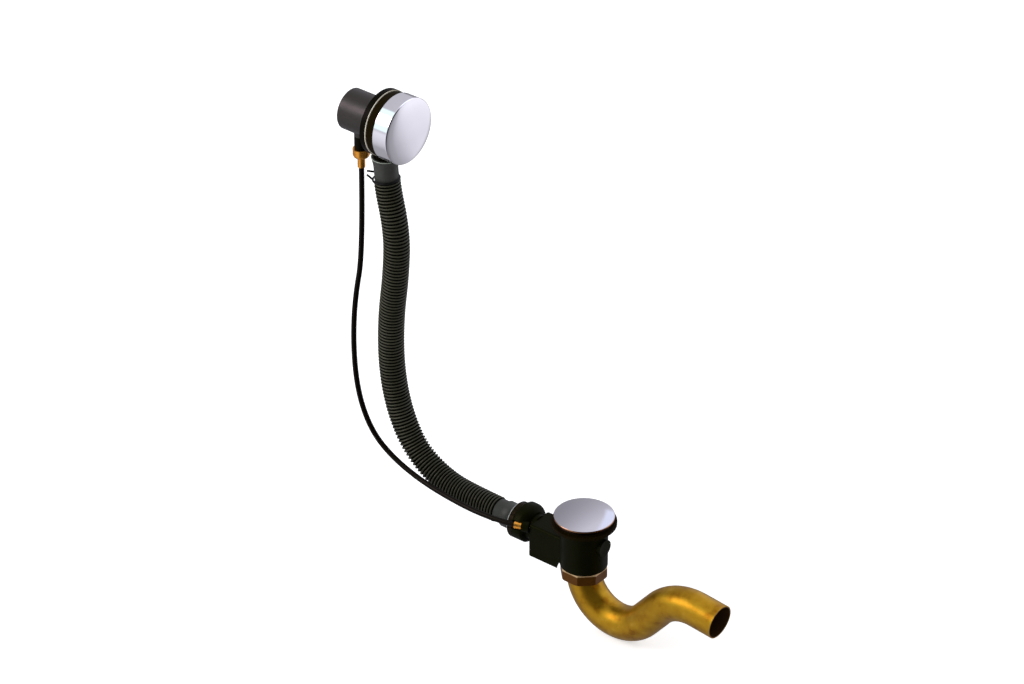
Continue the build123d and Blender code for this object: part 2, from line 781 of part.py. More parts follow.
# Control cable: the round sheath between the two ferrules
sheath_end = lower_ferrule_outside - ferrule_socket + seat_gap
cable_points = [
    (drum_x, cable_y, sheath_top_z - seat_gap),
    (drum_x, cable_y, sheath_top_z - cable_drop),
    *cable_bends,
    entry_point - entry_dir * cable_run_in,
    entry_point - entry_dir * sheath_end,
]
cable_radii = bend_radii(cable_points)
print("cable bend radii, mm:", [round(radius) for radius in cable_radii])
with BuildPart() as control_cable:
    with BuildLine() as cable_path:
        FilletPolyline(*cable_points, radius=cable_radii)
    with BuildSketch(Plane(origin=cable_path.line @ 0, z_dir=cable_path.line % 0)):
        Circle(cable_r)
    sweep()
control_cable.part.label = "control_cable"
export_step(control_cable.part, "parts/control_cable.step")

# Lower ferrule: a brass sleeve in the boss beside the inlet, with a socket for the sheath
with BuildPart() as lower_ferrule:
    extrude(
        ring_face(entry_section(-lower_ferrule_outside), lower_ferrule_r, ferrule_bore_r),
        amount=lower_ferrule_outside + lower_ferrule_inside,
    )
    extrude(
        ring_face(entry_section(-lower_ferrule_outside), cable_r + running_gap),
        amount=ferrule_socket,
        mode=Mode.SUBTRACT,
    )
lower_ferrule.part.label = "lower_ferrule"
export_step(lower_ferrule.part, "parts/lower_ferrule.step")

# Path of the overflow hose, from the outlet to the waste's inlet
hose_points = [
    (outlet_x, 0, cuff_top_z),
    *[(outlet_x + x, 0, cuff_top_z + z) for x, z in hose_upper_bends],
    *[(hose_end_x + x, 0, inlet_z + z) for x, z in hose_lower_bends],
    (hose_end_x, 0, inlet_z),
]
with BuildLine() as hose_path:
    FilletPolyline(*hose_points, radius=bend_radii(hose_points))
hose_line = hose_path.wire()
tie_station = hose_upper_cuff - tie_wire_r


def hose_section(station):
    """A plane across the hose, that far along its path."""
    place = hose_line.position_at(station, position_mode=PositionMode.LENGTH)
    along = hose_line.tangent_at(station, position_mode=PositionMode.LENGTH)
    return Plane(origin=place, x_dir=(0, 1, 0), z_dir=along)


def hose_profile():
    """Stations and radii down the hose: flared neck, ribs, and the lower cuff with its collar."""
    neck_r = hose_bore_r + hose_neck_wall
    root_r = hose_bore_r + hose_wall
    ribbed_end = hose_line.length - hose_lower_cuff
    rib_count = round((ribbed_end - hose_upper_cuff) / hose_rib_pitch)
    pitch = (ribbed_end - hose_upper_cuff) / rib_count
    profile = [
        (0, neck_r + hose_flare),
        (hose_flare_length / 2, neck_r + hose_flare),
        (hose_flare_length, neck_r),
        (hose_upper_cuff / 2, neck_r),
        (hose_upper_cuff - pitch / 4, neck_r),
        (hose_upper_cuff, root_r),
    ]
    for rib in range(rib_count):
        start = hose_upper_cuff + rib * pitch
        profile += [(start + pitch / 2, root_r + hose_rib_height), (start + pitch, root_r)]
    collar_start = hose_line.length - hose_collar_start
    collar_end = collar_start + hose_collar_length
    return [
        *profile,
        (ribbed_end + pitch / 4, hose_cuff_r),
        (collar_start, hose_cuff_r),
        (collar_start + hose_collar_slope, hose_collar_r),
        (collar_end - hose_collar_slope, hose_collar_r),
        (collar_end, hose_cuff_r),
        (hose_line.length, hose_cuff_r),
    ]


# Overflow hose: plain cuffs at its ends and ribs between
with BuildPart() as overflow_hose:
    for station, radius in hose_profile():
        with BuildSketch(hose_section(station)):
            Circle(radius)
    loft(ruled=True)
    with BuildSketch(hose_section(0)):
        Circle(hose_bore_r)
    sweep(path=hose_line, mode=Mode.SUBTRACT)
overflow_hose.part.label = "overflow_hose"
export_step(overflow_hose.part, "parts/overflow_hose.step")

# Hose tie: a turn of black wire round the neck, with a strand towards the cable and a free end
tie_plane = hose_section(tie_station)
tie_ring_r = hose_bore_r + hose_neck_wall + seat_gap + tie_wire_r
with BuildPart() as hose_tie:
    with Locations(tie_plane):
        Torus(tie_ring_r, tie_wire_r)
    for bearing, run in ((tie_strand_bearing, tie_strand_run), (tie_end_bearing, tie_end_run)):
        side = tie_ring_r * Vector(1, 0, 0).rotate(Axis.Z, bearing)
        tail_start = tie_plane.from_local_coords(side)
        with BuildLine():
            Line(tail_start, tail_start + Vector(*run))
        with BuildSketch(Plane(origin=tail_start, z_dir=run)):
            Circle(tie_wire_r)
        sweep()
hose_tie.part.label = "hose_tie"
export_step(hose_tie.part, "parts/hose_tie.step")

# Plug cap: a domed chromed disc with a boss for the stem
rim_edge_r = plug_rim_thickness / 2
with BuildPart() as plug_cap:
    with BuildSketch(Plane.XZ):
        with BuildLine():
            TangentArc((0, plug_rim_z + plug_dome), (plug_r - rim_edge_r, plug_rim_z), tangent=(1, 0))
            CenterArc((plug_r - rim_edge_r, plug_rim_z - rim_edge_r), rim_edge_r, 90, -180)
            Polyline(
                (plug_r - rim_edge_r, plug_under_z),
                (plug_boss_r, plug_under_z),
                (plug_boss_r, plug_under_z - plug_boss_depth),
                (stem_r + running_gap, plug_under_z - plug_boss_depth),
                (stem_r + running_gap, plug_rim_z),
                (0, plug_rim_z),
                (0, plug_rim_z + plug_dome),
            )
        make_face()
    revolve(axis=Axis.Z)
plug_cap.part.label = "plug_cap"
export_step(plug_cap.part, "parts/plug_cap.step")

# Plug seal: a rubber ring under the cap that closes on the flange's recess
with BuildPart() as plug_seal:
    extrude(
        ring_face(level(plug_under_z), recess_r - free_gap, throat_bore_r + free_gap),
        amount=flange_recess_z + free_gap - plug_under_z,
    )
plug_seal.part.label = "plug_seal"
export_step(plug_seal.part, "parts/plug_seal.step")

# Plug stem: a rod down through the guide, with a foot that the lever lifts
with BuildPart() as plug_stem:
    extrude(ring_face(level(stem_bottom_z), stem_foot_r), amount=stem_foot_thickness)
    extrude(ring_face(level(stem_bottom_z), stem_r), amount=plug_rim_z - running_gap - stem_bottom_z)
plug_stem.part.label = "plug_stem"
export_step(plug_stem.part, "parts/plug_stem.step")

# Lock nut that fixes the stem under the plug
with BuildPart() as stem_lock_nut:
    with BuildSketch(level(plug_under_z - plug_boss_depth)):
        RegularPolygon(lock_nut_across / 2, 6, major_radius=False)
        Circle(stem_r + running_gap, mode=Mode.SUBTRACT)
    extrude(amount=-lock_nut_thickness)
stem_lock_nut.part.label = "stem_lock_nut"
export_step(stem_lock_nut.part, "parts/stem_lock_nut.step")

# Waste flange: chromed rim and throat, with a spoked guide for the stem
with BuildPart() as waste_flange:
    revolve(
        outline_face(
            Plane.XZ,
            (throat_bore_r, -throat_depth),
            (throat_r, -throat_depth),
            (throat_r, flange_recess_z - waste_flange_dish),
            (dish_r, flange_recess_z - waste_flange_dish),
            (dish_r, upper_gasket_thickness),
            (waste_flange_r, upper_gasket_thickness),
            (waste_flange_r, waste_flange_top_z - waste_flange_thickness / 2),
            (waste_flange_r - waste_flange_thickness / 2, waste_flange_top_z),
            (recess_r, waste_flange_top_z),
            (recess_r, flange_recess_z),
            (throat_bore_r, flange_recess_z),
        ),
        axis=Axis.Z,
    )
    with BuildSketch(level(guide_top_z)):
        Circle(guide_hub_r)
        with PolarLocations(throat_bore_r / 2, guide_spoke_count):
            Rectangle(throat_bore_r + throat_wall, guide_spoke_width)
        Circle(stem_r + running_gap, mode=Mode.SUBTRACT)
    extrude(amount=-guide_spoke_depth)
waste_flange.part.label = "waste_flange"
export_step(waste_flange.part, "parts/waste_flange.step")

# Upper and lower gaskets that clamp the bath floor
with BuildPart() as upper_gasket:
    extrude(ring_face(Plane.XY, waste_flange_r, dish_r + free_gap), amount=upper_gasket_thickness)
upper_gasket.part.label = "upper_gasket"
export_step(upper_gasket.part, "parts/upper_gasket.step")

with BuildPart() as lower_gasket:
    extrude(ring_face(Plane.XY, lower_gasket_r, throat_r + free_gap), amount=-lower_gasket_thickness)
lower_gasket.part.label = "lower_gasket"
export_step(lower_gasket.part, "parts/lower_gasket.step")

# Waste body: round body, lever box, hooded hose inlet, cable entry and side boss, moulded as one
with BuildPart() as waste_body:
    # Lever box, with room for the coupling nut beside it
    with BuildSketch(level(box_top_z, box_left_x / 2)):
        Rectangle(-box_left_x, 2 * box_half_width)
    extrude(amount=box_bottom_z - box_top_z)
    box_lid = waste_body.faces().sort_by(Axis.Z)[-1]
    fillet(waste_body.edges().filter_by(Axis.Z) + box_lid.edges(), box_edge)
    extrude(ring_face(level(nut_room_z), nut_room_r), amount=box_bottom_z - nut_room_z, mode=Mode.SUBTRACT)
    # Round body with its flange and threaded neck
    revolve(
        outline_face(
            Plane.XZ,
            (0, body_top_z),
            (body_flange_r, body_top_z),
            (body_flange_r, body_top_z - body_flange_thickness),
            (body_r, body_top_z - body_flange_thickness),
            (body_r, nut_room_z),
            (thread_r, nut_room_z),
            (thread_r, body_bottom_z),
            (0, body_bottom_z),
        ),
        axis=Axis.Z,
    )
    # Inlet with its collar, and the hood over its upper half
    revolve(
        outline_face(
            inlet_half,
            (inlet_root_x, 0),
            (inlet_root_x, inlet_neck_r),
            (collar_right_x, inlet_neck_r),
            (collar_right_x, union_nut_r - inlet_collar_edge),
            (collar_right_x - inlet_collar_edge, union_nut_r),
            (collar_left_x, union_nut_r),
            (collar_left_x, inlet_thread_r),
            (inlet_left_x, inlet_thread_r),
            (inlet_left_x, 0),
        ),
        axis=inlet_axis,
    )
    with BuildSketch(level(inlet_z)):
        with BuildLine():
            Polyline(
                (hood_foot_x, inlet_neck_r),
                (inlet_root_x, inlet_neck_r),
                (inlet_root_x, 0),
                (collar_left_x, 0),
                (collar_left_x, union_nut_r),
                (hood_crest_x, hood_r),
                (hood_shoulder_x, hood_r),
            )
            TangentArc((hood_shoulder_x, hood_r), (hood_foot_x, inlet_neck_r), tangent=(1, 0))
        make_face()
    revolve(axis=inlet_axis, revolution_arc=180)
    # Pocket for the cable in the collar's side, and the boss that holds its ferrule
    extrude(
        ring_face(entry_section(-cable_boss_reach), lower_ferrule_r + cable_pocket_gap),
        amount=-lower_ferrule_outside - inlet_collar_length,
        mode=Mode.SUBTRACT,
    )
    extrude(
        ring_face(entry_section(-cable_boss_reach), lower_ferrule_r + cable_boss_wall),
        amount=cable_boss_reach + cable_entry_reach,
    )
    # Blank boss on the far side, and a moulding pip on the box's front
    extrude(
        ring_face(Plane(origin=(body_r + side_boss_reach, 0, side_boss_z), z_dir=(1, 0, 0)), side_boss_r),
        amount=-side_boss_reach - body_wall,
    )
    pip_place = upright(box_left_x + box_pip_inset, -box_half_width, box_bottom_z + box_pip_rise)
    extrude(ring_face(pip_place, box_pip_r), amount=-box_pip_height)
    # Bore, lever cavity, cover recess and the window between cavity and bore
    extrude(ring_face(level(body_top_z), body_bore_r), amount=window_floor_z - body_top_z, mode=Mode.SUBTRACT)
    extrude(
        ring_face(level(window_floor_z), neck_bore_r),
        amount=body_bottom_z - window_floor_z,
        mode=Mode.SUBTRACT,
    )
    with BuildSketch(level(box_ceiling_z, cavity_mid_x)):
        Rectangle(cavity_length, 2 * cavity_half_width)
    extrude(amount=box_bottom_z - box_ceiling_z, mode=Mode.SUBTRACT)
    with BuildSketch(level(box_floor_z, cavity_mid_x)):
        Rectangle(cavity_length + 2 * cover_ledge, 2 * (cavity_half_width + cover_ledge))
    extrude(amount=-cover_thickness, mode=Mode.SUBTRACT)
    extrude(
        outline_face(
            level(box_ceiling_z),
            (cavity_right_x - box_wall, window_front_y),
            (-neck_bore_r / 2, window_front_y),
            (-neck_bore_r / 2, window_back_y),
            (cavity_right_x - box_wall, window_back_y),
        ),
        amount=window_floor_z - box_ceiling_z,
        mode=Mode.SUBTRACT,
    )
    # Passages for the hose, the lower ferrule and the wire
    extrude(
        ring_face(inlet_section(inlet_left_x), inlet_bore_r),
        amount=inlet_hose_depth + free_gap,
        mode=Mode.SUBTRACT,
    )
    extrude(
        ring_face(inlet_section(inlet_left_x), inlet_passage_r),
        amount=cavity_left_x + box_wall - inlet_left_x,
        mode=Mode.SUBTRACT,
    )
    extrude(
        ring_face(entry_section(-cable_boss_reach), lower_ferrule_r + seat_gap),
        amount=cable_boss_reach + lower_ferrule_inside,
        mode=Mode.SUBTRACT,
    )
    extrude(
        ring_face(entry_section(0), wire_passage_r),
        amount=(cavity_left_x + box_wall - entry_x) / math.cos(skew),
        mode=Mode.SUBTRACT,
    )
    # Bosses for the lever's pin and posts for the cover's screws
    for wall_y, hub_y in ((-cavity_half_width, window_front_y), (cavity_half_width, window_back_y)):
        extrude(ring_face(upright(lever_pivot_x, wall_y, lever_pivot_z), pin_boss_r), amount=hub_y - wall_y)
    extrude(
        ring_face(upright(lever_pivot_x, box_half_width, lever_pivot_z), lever_pin_r + seat_gap),
        amount=-lever_pin_depth,
        mode=Mode.SUBTRACT,
    )
    for post_x in cover_post_xs:
        for post_y in cover_post_ys:
            extrude(ring_face(level(box_floor_z, post_x, post_y), cover_post_r), amount=cover_post_height)
            extrude(
                ring_face(level(box_floor_z, post_x, post_y), cover_screw_r + seat_gap),
                amount=cover_screw_grip + free_gap,
                mode=Mode.SUBTRACT,
            )
waste_body.part.label = "waste_body"
export_step(waste_body.part, "parts/waste_body.step")

# Box cover: a plate set in the underside of the box, with its screws
with BuildPart() as box_cover:
    with BuildSketch(level(box_bottom_z, cavity_mid_x)):
        Rectangle(
            cavity_length + 2 * (cover_ledge - seat_gap), 2 * (cavity_half_width + cover_ledge - seat_gap)
        )
    extrude(amount=cover_thickness)
    for post_x in cover_post_xs:
        for post_y in cover_post_ys:
            with Locations(Plane(origin=(post_x, post_y, box_bottom_z), z_dir=(0, 0, -1))):
                CounterBoreHole(cover_screw_r + seat_gap, cover_screw_head_r + seat_gap, cover_screw_head)
box_cover.part.label = "box_cover"
export_step(box_cover.part, "parts/box_cover.step")

with BuildPart() as box_cover_screws:
    for post_x in cover_post_xs:
        for post_y in cover_post_ys:
            screw_base = level(box_bottom_z, post_x, post_y)
            extrude(ring_face(screw_base, cover_screw_head_r), amount=cover_screw_head)
            extrude(ring_face(screw_base, cover_screw_r), amount=cover_thickness + cover_screw_grip)
box_cover_screws.part.label = "box_cover_screws"
export_step(box_cover_screws.part, "parts/box_cover_screws.step")

# Union nut: a black ring with grip flutes that clamps the hose in the inlet
with BuildPart() as union_nut:
    extrude(ring_face(inlet_section(union_left_x), union_nut_r), amount=union_nut_length)
    with BuildSketch(inlet_section(union_floor_x)):
        with PolarLocations(union_nut_r + union_grip_r / 2, union_grip_count):
            Circle(union_grip_r)
    extrude(amount=union_nut_length, mode=Mode.SUBTRACT)
    extrude(
        ring_face(inlet_section(union_floor_x), inlet_thread_r + seat_gap),
        amount=union_nut_length,
        mode=Mode.SUBTRACT,
    )
    extrude(
        ring_face(inlet_section(union_left_x), seal_bore_r + inlet_seal_neck + seat_gap),
        amount=union_nut_lip,
        mode=Mode.SUBTRACT,
    )
union_nut.part.label = "union_nut"
export_step(union_nut.part, "parts/union_nut.step")

# Inlet seal: a rubber grommet in the nut's mouth, pressed on the inlet, with a flange that shows outside
with BuildPart() as inlet_seal:
    revolve(
        outline_face(
            inlet_half,
            (union_left_x - inlet_seal_reach, seal_bore_r),
            (union_left_x - inlet_seal_reach, inlet_seal_flange_r),
            (union_left_x - seat_gap, inlet_seal_flange_r),
            (union_left_x - seat_gap, seal_bore_r + inlet_seal_neck),
            (union_floor_x + seat_gap, seal_bore_r + inlet_seal_neck),
            (union_floor_x + seat_gap, inlet_thread_r - seat_gap),
            (inlet_left_x - seat_gap, inlet_thread_r - seat_gap),
            (inlet_left_x - seat_gap, seal_bore_r),
        ),
        axis=inlet_axis,
    )
inlet_seal.part.label = "inlet_seal"
export_step(inlet_seal.part, "parts/inlet_seal.step")

# Lift lever: a bell crank with a forked post for the wire and an arm under the plug's stem
with BuildPart() as lift_lever:
    extrude(
        ring_face(lever_side(lever_hub_front_y), lever_hub_r), amount=lever_hub_front_y - lever_hub_back_y
    )
    with BuildSketch(lever_side(-lever_arm_width / 2)):
        with Locations((0, lever_arm_r - lever_tip_r), (lever_reach, lever_arm_r - lever_tip_r)):
            Circle(lever_arm_r)
        make_hull()
        with Locations((lever_reach, 0)):
            Circle(lever_tip_r)
    extrude(amount=-lever_arm_width)
    with BuildSketch(lever_side(lever_hub_front_y)):
        with Locations((0, lever_post_height / 2)):
            Rectangle(lever_post_width, lever_post_height)
    extrude(amount=lever_hub_front_y - lever_post_back_y)
    with BuildSketch(lever_side(lever_slot_front_y)):
        with Locations((0, lever_slot_start + lever_post_height / 2)):
            Rectangle(2 * lever_post_width, lever_post_height)
    extrude(amount=lever_slot_front_y - lever_slot_back_y, mode=Mode.SUBTRACT)
    extrude(
        ring_face(lever_side(lever_hub_front_y), lever_pin_r + running_gap),
        amount=lever_hub_front_y - lever_hub_back_y,
        mode=Mode.SUBTRACT,
    )
lift_lever.part.label = "lift_lever"
export_step(lift_lever.part, "parts/lift_lever.step")

# Lever pin: pushed in from the back of the box, blind in its front wall
with BuildPart() as lever_pin:
    extrude(
        ring_face(upright(lever_pivot_x, box_half_width, lever_pivot_z), lever_pin_r),
        amount=free_gap - lever_pin_depth,
    )
lever_pin.part.label = "lever_pin"
export_step(lever_pin.part, "parts/lever_pin.step")

# Pull wire: the lower end of the wire, from the ferrule to its cross bar
with BuildPart() as pull_wire:
    extrude(ring_face(entry_section(wire_start), wire_r), amount=bar_along - wire_start)
pull_wire.part.label = "pull_wire"
export_step(pull_wire.part, "parts/pull_wire.step")

# Cross bar on the wire's end, which pulls on both prongs of the lever
with BuildPart() as wire_bar:
    extrude(
        ring_face(upright(bar_x, bar_y, cable_entry_z), wire_bar_r), amount=wire_bar_length / 2, both=True
    )
    extrude(ring_face(entry_section(0), wire_r + running_gap), amount=bar_along, mode=Mode.SUBTRACT)
wire_bar.part.label = "wire_bar"
export_step(wire_bar.part, "parts/wire_bar.step")

# Coupling nut: an eight-sided brass nut with chamfered corners and a lip under the pipe's collar
chamfer_r = nut_corner_r - coupling_nut_chamfer
with BuildPart() as coupling_nut:
    with BuildSketch(level(nut_bottom_z)):
        RegularPolygon(nut_flat_r, coupling_nut_sides, major_radius=False, rotation=180 / coupling_nut_sides)
    extrude(amount=coupling_nut_height)
    revolve(
        outline_face(
            Plane.XZ,
            (0, nut_bottom_z),
            (chamfer_r, nut_bottom_z),
            (nut_corner_r, nut_bottom_z + coupling_nut_chamfer),
            (nut_corner_r, nut_top_z - coupling_nut_chamfer),
            (chamfer_r, nut_top_z),
            (0, nut_top_z),
        ),
        axis=Axis.Z,
        mode=Mode.INTERSECT,
    )
    extrude(
        ring_face(level(nut_top_z), thread_r + seat_gap),
        amount=collar_bottom_z - nut_top_z,
        mode=Mode.SUBTRACT,
    )
    extrude(
        ring_face(level(nut_top_z), pipe_r + coupling_hole_gap),
        amount=-coupling_nut_height,
        mode=Mode.SUBTRACT,
    )
coupling_nut.part.label = "coupling_nut"
export_step(coupling_nut.part, "parts/coupling_nut.step")

# Coupling washer between the body and the pipe's collar
with BuildPart() as coupling_washer:
    extrude(ring_face(level(body_bottom_z), pipe_collar_r, pipe_bore_r), amount=-coupling_washer_thickness)
coupling_washer.part.label = "coupling_washer"
export_step(coupling_washer.part, "parts/coupling_washer.step")

# Trap pipe: a brass swan neck, turned up out of its bend and over to a short level outlet
with BuildPart() as trap_pipe:
    with BuildLine(Plane.XZ) as pipe_path:
        drop = Line((0, washer_bottom_z), (0, collar_bottom_z))
        first_bend = JernArc(drop @ 1, drop % 1, pipe_first_bend_r, pipe_first_turn_deg)
        rise = PolarLine(first_bend @ 1, pipe_rise, direction=first_bend % 1)
        second_bend = JernArc(rise @ 1, rise % 1, pipe_second_bend_r, -pipe_second_turn_deg)
        PolarLine(second_bend @ 1, pipe_outlet_length, direction=second_bend % 1)
    with BuildSketch(level(washer_bottom_z)):
        Circle(pipe_r)
        Circle(pipe_bore_r, mode=Mode.SUBTRACT)
    sweep()
    extrude(
        ring_face(level(washer_bottom_z), pipe_collar_r, pipe_bore_r + pipe_wall / 2),
        amount=-pipe_collar_thickness,
    )
trap_pipe.part.label = "trap_pipe"
export_step(trap_pipe.part, "parts/trap_pipe.step")
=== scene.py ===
"""Looks for a pop-up bath waste and overflow: finishes, ribbed hose, control cable, light and camera.

Metres, in the model's own frame: +Z up, +X from the overflow towards the waste.
"""

import math

import bpy
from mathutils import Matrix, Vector


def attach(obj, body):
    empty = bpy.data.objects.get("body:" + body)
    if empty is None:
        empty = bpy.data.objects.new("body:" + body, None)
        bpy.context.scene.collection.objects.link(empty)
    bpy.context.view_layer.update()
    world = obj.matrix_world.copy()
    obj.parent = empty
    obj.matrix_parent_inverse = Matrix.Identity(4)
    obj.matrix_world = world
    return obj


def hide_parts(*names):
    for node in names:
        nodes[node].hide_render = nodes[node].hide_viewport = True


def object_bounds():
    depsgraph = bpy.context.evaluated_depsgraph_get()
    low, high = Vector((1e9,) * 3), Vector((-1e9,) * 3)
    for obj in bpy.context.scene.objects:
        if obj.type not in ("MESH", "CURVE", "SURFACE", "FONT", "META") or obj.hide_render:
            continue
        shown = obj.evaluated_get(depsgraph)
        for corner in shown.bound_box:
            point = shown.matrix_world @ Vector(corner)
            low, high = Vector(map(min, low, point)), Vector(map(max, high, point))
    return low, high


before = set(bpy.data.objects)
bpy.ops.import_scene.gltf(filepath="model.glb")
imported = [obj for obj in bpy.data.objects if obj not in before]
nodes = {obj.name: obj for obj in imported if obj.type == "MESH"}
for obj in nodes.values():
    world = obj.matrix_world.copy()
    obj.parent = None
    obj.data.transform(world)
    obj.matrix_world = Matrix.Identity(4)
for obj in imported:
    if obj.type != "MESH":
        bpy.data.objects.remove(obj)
cad_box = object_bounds()

scene = bpy.context.scene
scene.view_settings.view_transform = "Standard"

# Camera: a long lens, to the right of the front and well above
CAMERA_AZIMUTH = math.radians(39.0)
CAMERA_ELEVATION = math.radians(32.0)
CAMERA_PLACE = (2.54737, -3.26798, 2.81252)
CAMERA_LENS_MM = 165.2
CAMERA_REACH = 100.0

# Control points of the control cable and of the hose, from the overflow to the waste
CABLE_POINTS = [
    (-0.2996, -0.006, 0.3344),
    (-0.2996, -0.006, 0.2245),
    (-0.309, -0.011, 0.16),
    (-0.3095, -0.014, 0.1),
    (-0.302, -0.016, 0.046),
    (-0.281, -0.019, 0.008),
    (-0.25, -0.0205, -0.013),
    (-0.205, -0.022, -0.0265),
    (-0.15, -0.026, -0.0293),
    (-0.115, -0.027, -0.0286),
    (-0.083304, -0.022351, -0.0285),
    (-0.073128, -0.018444, -0.0285),
]
HOSE_POINTS = [
    (-0.271, 0, 0.3487),
    (-0.271, 0, 0.3217),
    (-0.2565, 0, 0.2617),
    (-0.2585, 0, 0.2097),
    (-0.267, 0, 0.1497),
    (-0.2675, 0, 0.089),
    (-0.2575, 0, 0.0375),
    (-0.235, 0, -0.0055),
    (-0.196, 0, -0.0305),
    (-0.15, 0, -0.0365),
    (-0.069, 0, -0.0365),
]
ROUTE_STEPS = 64

# Control cable
CABLE_R = 0.003
CABLE_STEPS = 24
CABLE_BEVEL_STEPS = 6

# Hose: its radii, its lengths, and how finely it is divided
HOSE_BORE_R = 0.0117
HOSE_NECK_R = 0.0132
HOSE_FLARE_R = 0.0156
HOSE_ROOT_R = 0.0122
HOSE_CREST_R = 0.0145
HOSE_CUFF_R = 0.0132
HOSE_COLLAR_R = 0.0148
HOSE_FLARE = 0.014
HOSE_RIM = 0.0006
HOSE_UPPER_CUFF = 0.028
HOSE_LOWER_CUFF = 0.048
HOSE_COLLAR_START = 0.038
HOSE_COLLAR_LENGTH = 0.0144
HOSE_COLLAR_SLOPE = 0.0012
HOSE_RIB_PITCH = 0.0039
RIB_FULLNESS = 0.7
# Share of a rib's rise under which the hose's faces take the painted shade of the grooves
GROOVE_SHARE = 0.55
HOSE_SEGMENTS = 48
RIB_STEPS = 12
FLARE_STEPS = 8
BORE_STEPS = 160

# Knob: a chromed cap along the overflow's axis
OVERFLOW_Z = 0.39
KNOB_FACE_X = -0.238
KNOB_BACK_X = -0.2566
KNOB_FLOOR_X = -0.2398
KNOB_R = 0.03725
KNOB_BORE_R = 0.03545
KNOB_EDGE = 0.0014
KNOB_DOME = 0.0024
KNOB_FACE_STEPS = 48
KNOB_EDGE_STEPS = 24

# Plug: a chromed cap on the waste's axis
PLUG_R = 0.033
PLUG_RIM_Z = 0.007
PLUG_EDGE = 0.0011
PLUG_DOME = 0.003
PLUG_BOSS_R = 0.008
PLUG_BOSS_Z = 0.0018
STEM_BORE_R = 0.00405
PLUG_FACE_STEPS = 24
PLUG_EDGE_STEPS = 48

# Painted brown reflection on the plug's rim: where it starts to fade and has gone, down from the rim as
# shares of its edge
PAINTED_REFLECTION_FADE = 0.4
PAINTED_REFLECTION_GONE = 0.05

# Both caps: segments round them, degrees from the face to the rounded edge's first point, and sharp corners
CAP_SEGMENTS = 192
EDGE_START_DEG = 3
SHARP_ANGLE = math.radians(6.0)

# Slope of a cushion at its rim, where its rise over its reach is 1
CUSHION_FALL = 10 / 3

# Barrel of the overflow head, which is paler and glossier than the rest: behind and above these limits
BARREL_FRONT_X = -0.2751
BARREL_LOW_Z = 0.3665
BARREL_EDGE = 0.0004
BARREL_SHEEN = (0.04, 0.5)

# Painted shade in the bore at the open end of the trap pipe
OUTLET_POINT = (0.167202, 0.0, -0.050346)
OUTLET_AXIS = (0.994522, 0.0, -0.104528)
OUTLET_DEPTH_X = 0.157
PIPE_BORE_R = 0.01755
PIPE_SKIN = 0.0004

# Painted highlight round the top edge of the coupling nut
NUT_EDGE_Z = -0.0566
NUT_EDGE = 0.0012

# Noise in the finishes: the values that most of it lies between, and the fine grain of moulded plastic
NOISE_LIMITS = (0.3, 0.7)
NOISE_DETAIL = 3.0
MOULD_SCALE = 2600.0
MOULD_DETAIL = 2.0
MOULD_DEPTH = 0.00003

# White of the light, and of gloss without a tint
WHITE = (1.0, 1.0, 1.0)


def nurbs(name, points, steps):
    """A smooth open curve with these control points, as thick as the cable where its bevel depth is 1."""
    data = bpy.data.curves.new(name, "CURVE")
    data.dimensions = "3D"
    spline = data.splines.new("NURBS")
    spline.points.add(len(points) - 1)
    for slot, point in zip(spline.points, points):
        slot.co = (*point, 1.0)
        slot.radius = CABLE_R
    spline.order_u = 3
    spline.use_endpoint_u = True
    spline.resolution_u = steps
    data.resolution_u = steps
    curve = bpy.data.objects.new(name, data)
    scene.collection.objects.link(curve)
    return curve


def route_points(name, points):
    """Points along the smooth curve that a route's control points give."""
    curve = nurbs(name, points, ROUTE_STEPS)
    line = bpy.data.meshes.new_from_object(curve)
    found = [vertex.co.copy() for vertex in line.vertices]
    bpy.data.objects.remove(curve)
    bpy.data.meshes.remove(line)
    return found


def stations(points):
    """Length along a line of points, at each of them."""
    along = [0.0]
    for before, here in zip(points, points[1:]):
        along.append(along[-1] + (here - before).length)
    return along


def place_along(points, along, station):
    """The point and the direction that far along a line of points."""
    index = 1
    while index < len(points) - 1 and along[index] < station:
        index += 1
    step = points[index] - points[index - 1]
    part = (station - along[index - 1]) / (along[index] - along[index - 1])
    return points[index - 1] + step * part, step.normalized()


def circle(centre, side, over, radius, segments):
    """Points round a circle, from its side over its top."""
    turns = [2 * math.pi * segment / segments for segment in range(segments)]
    return [centre + (side * math.cos(turn) + over * math.sin(turn)) * radius for turn in turns]


def smooth_piece(name, vertices, faces):
    """A new smooth-shaded piece from its vertices and faces."""
    mesh = bpy.data.meshes.new(name)
    mesh.from_pydata(vertices, [], faces)
    for face in mesh.polygons:
        face.use_smooth = True
    piece = bpy.data.objects.new(name, mesh)
    scene.collection.objects.link(piece)
    return piece


# Control cable
cable = nurbs("cable_sheath", CABLE_POINTS, CABLE_STEPS)
cable.data.bevel_depth = 1.0
cable.data.bevel_resolution = CABLE_BEVEL_STEPS
cable_line = route_points("cable_route", CABLE_POINTS)
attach(cable, "base")
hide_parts("control_cable")

# Hose: a flared neck, round ribs and a plain cuff, swept along its route with its bore inside
hose_line = route_points("hose_route", HOSE_POINTS)
hose_along = stations(hose_line)
hose_length = hose_along[-1]


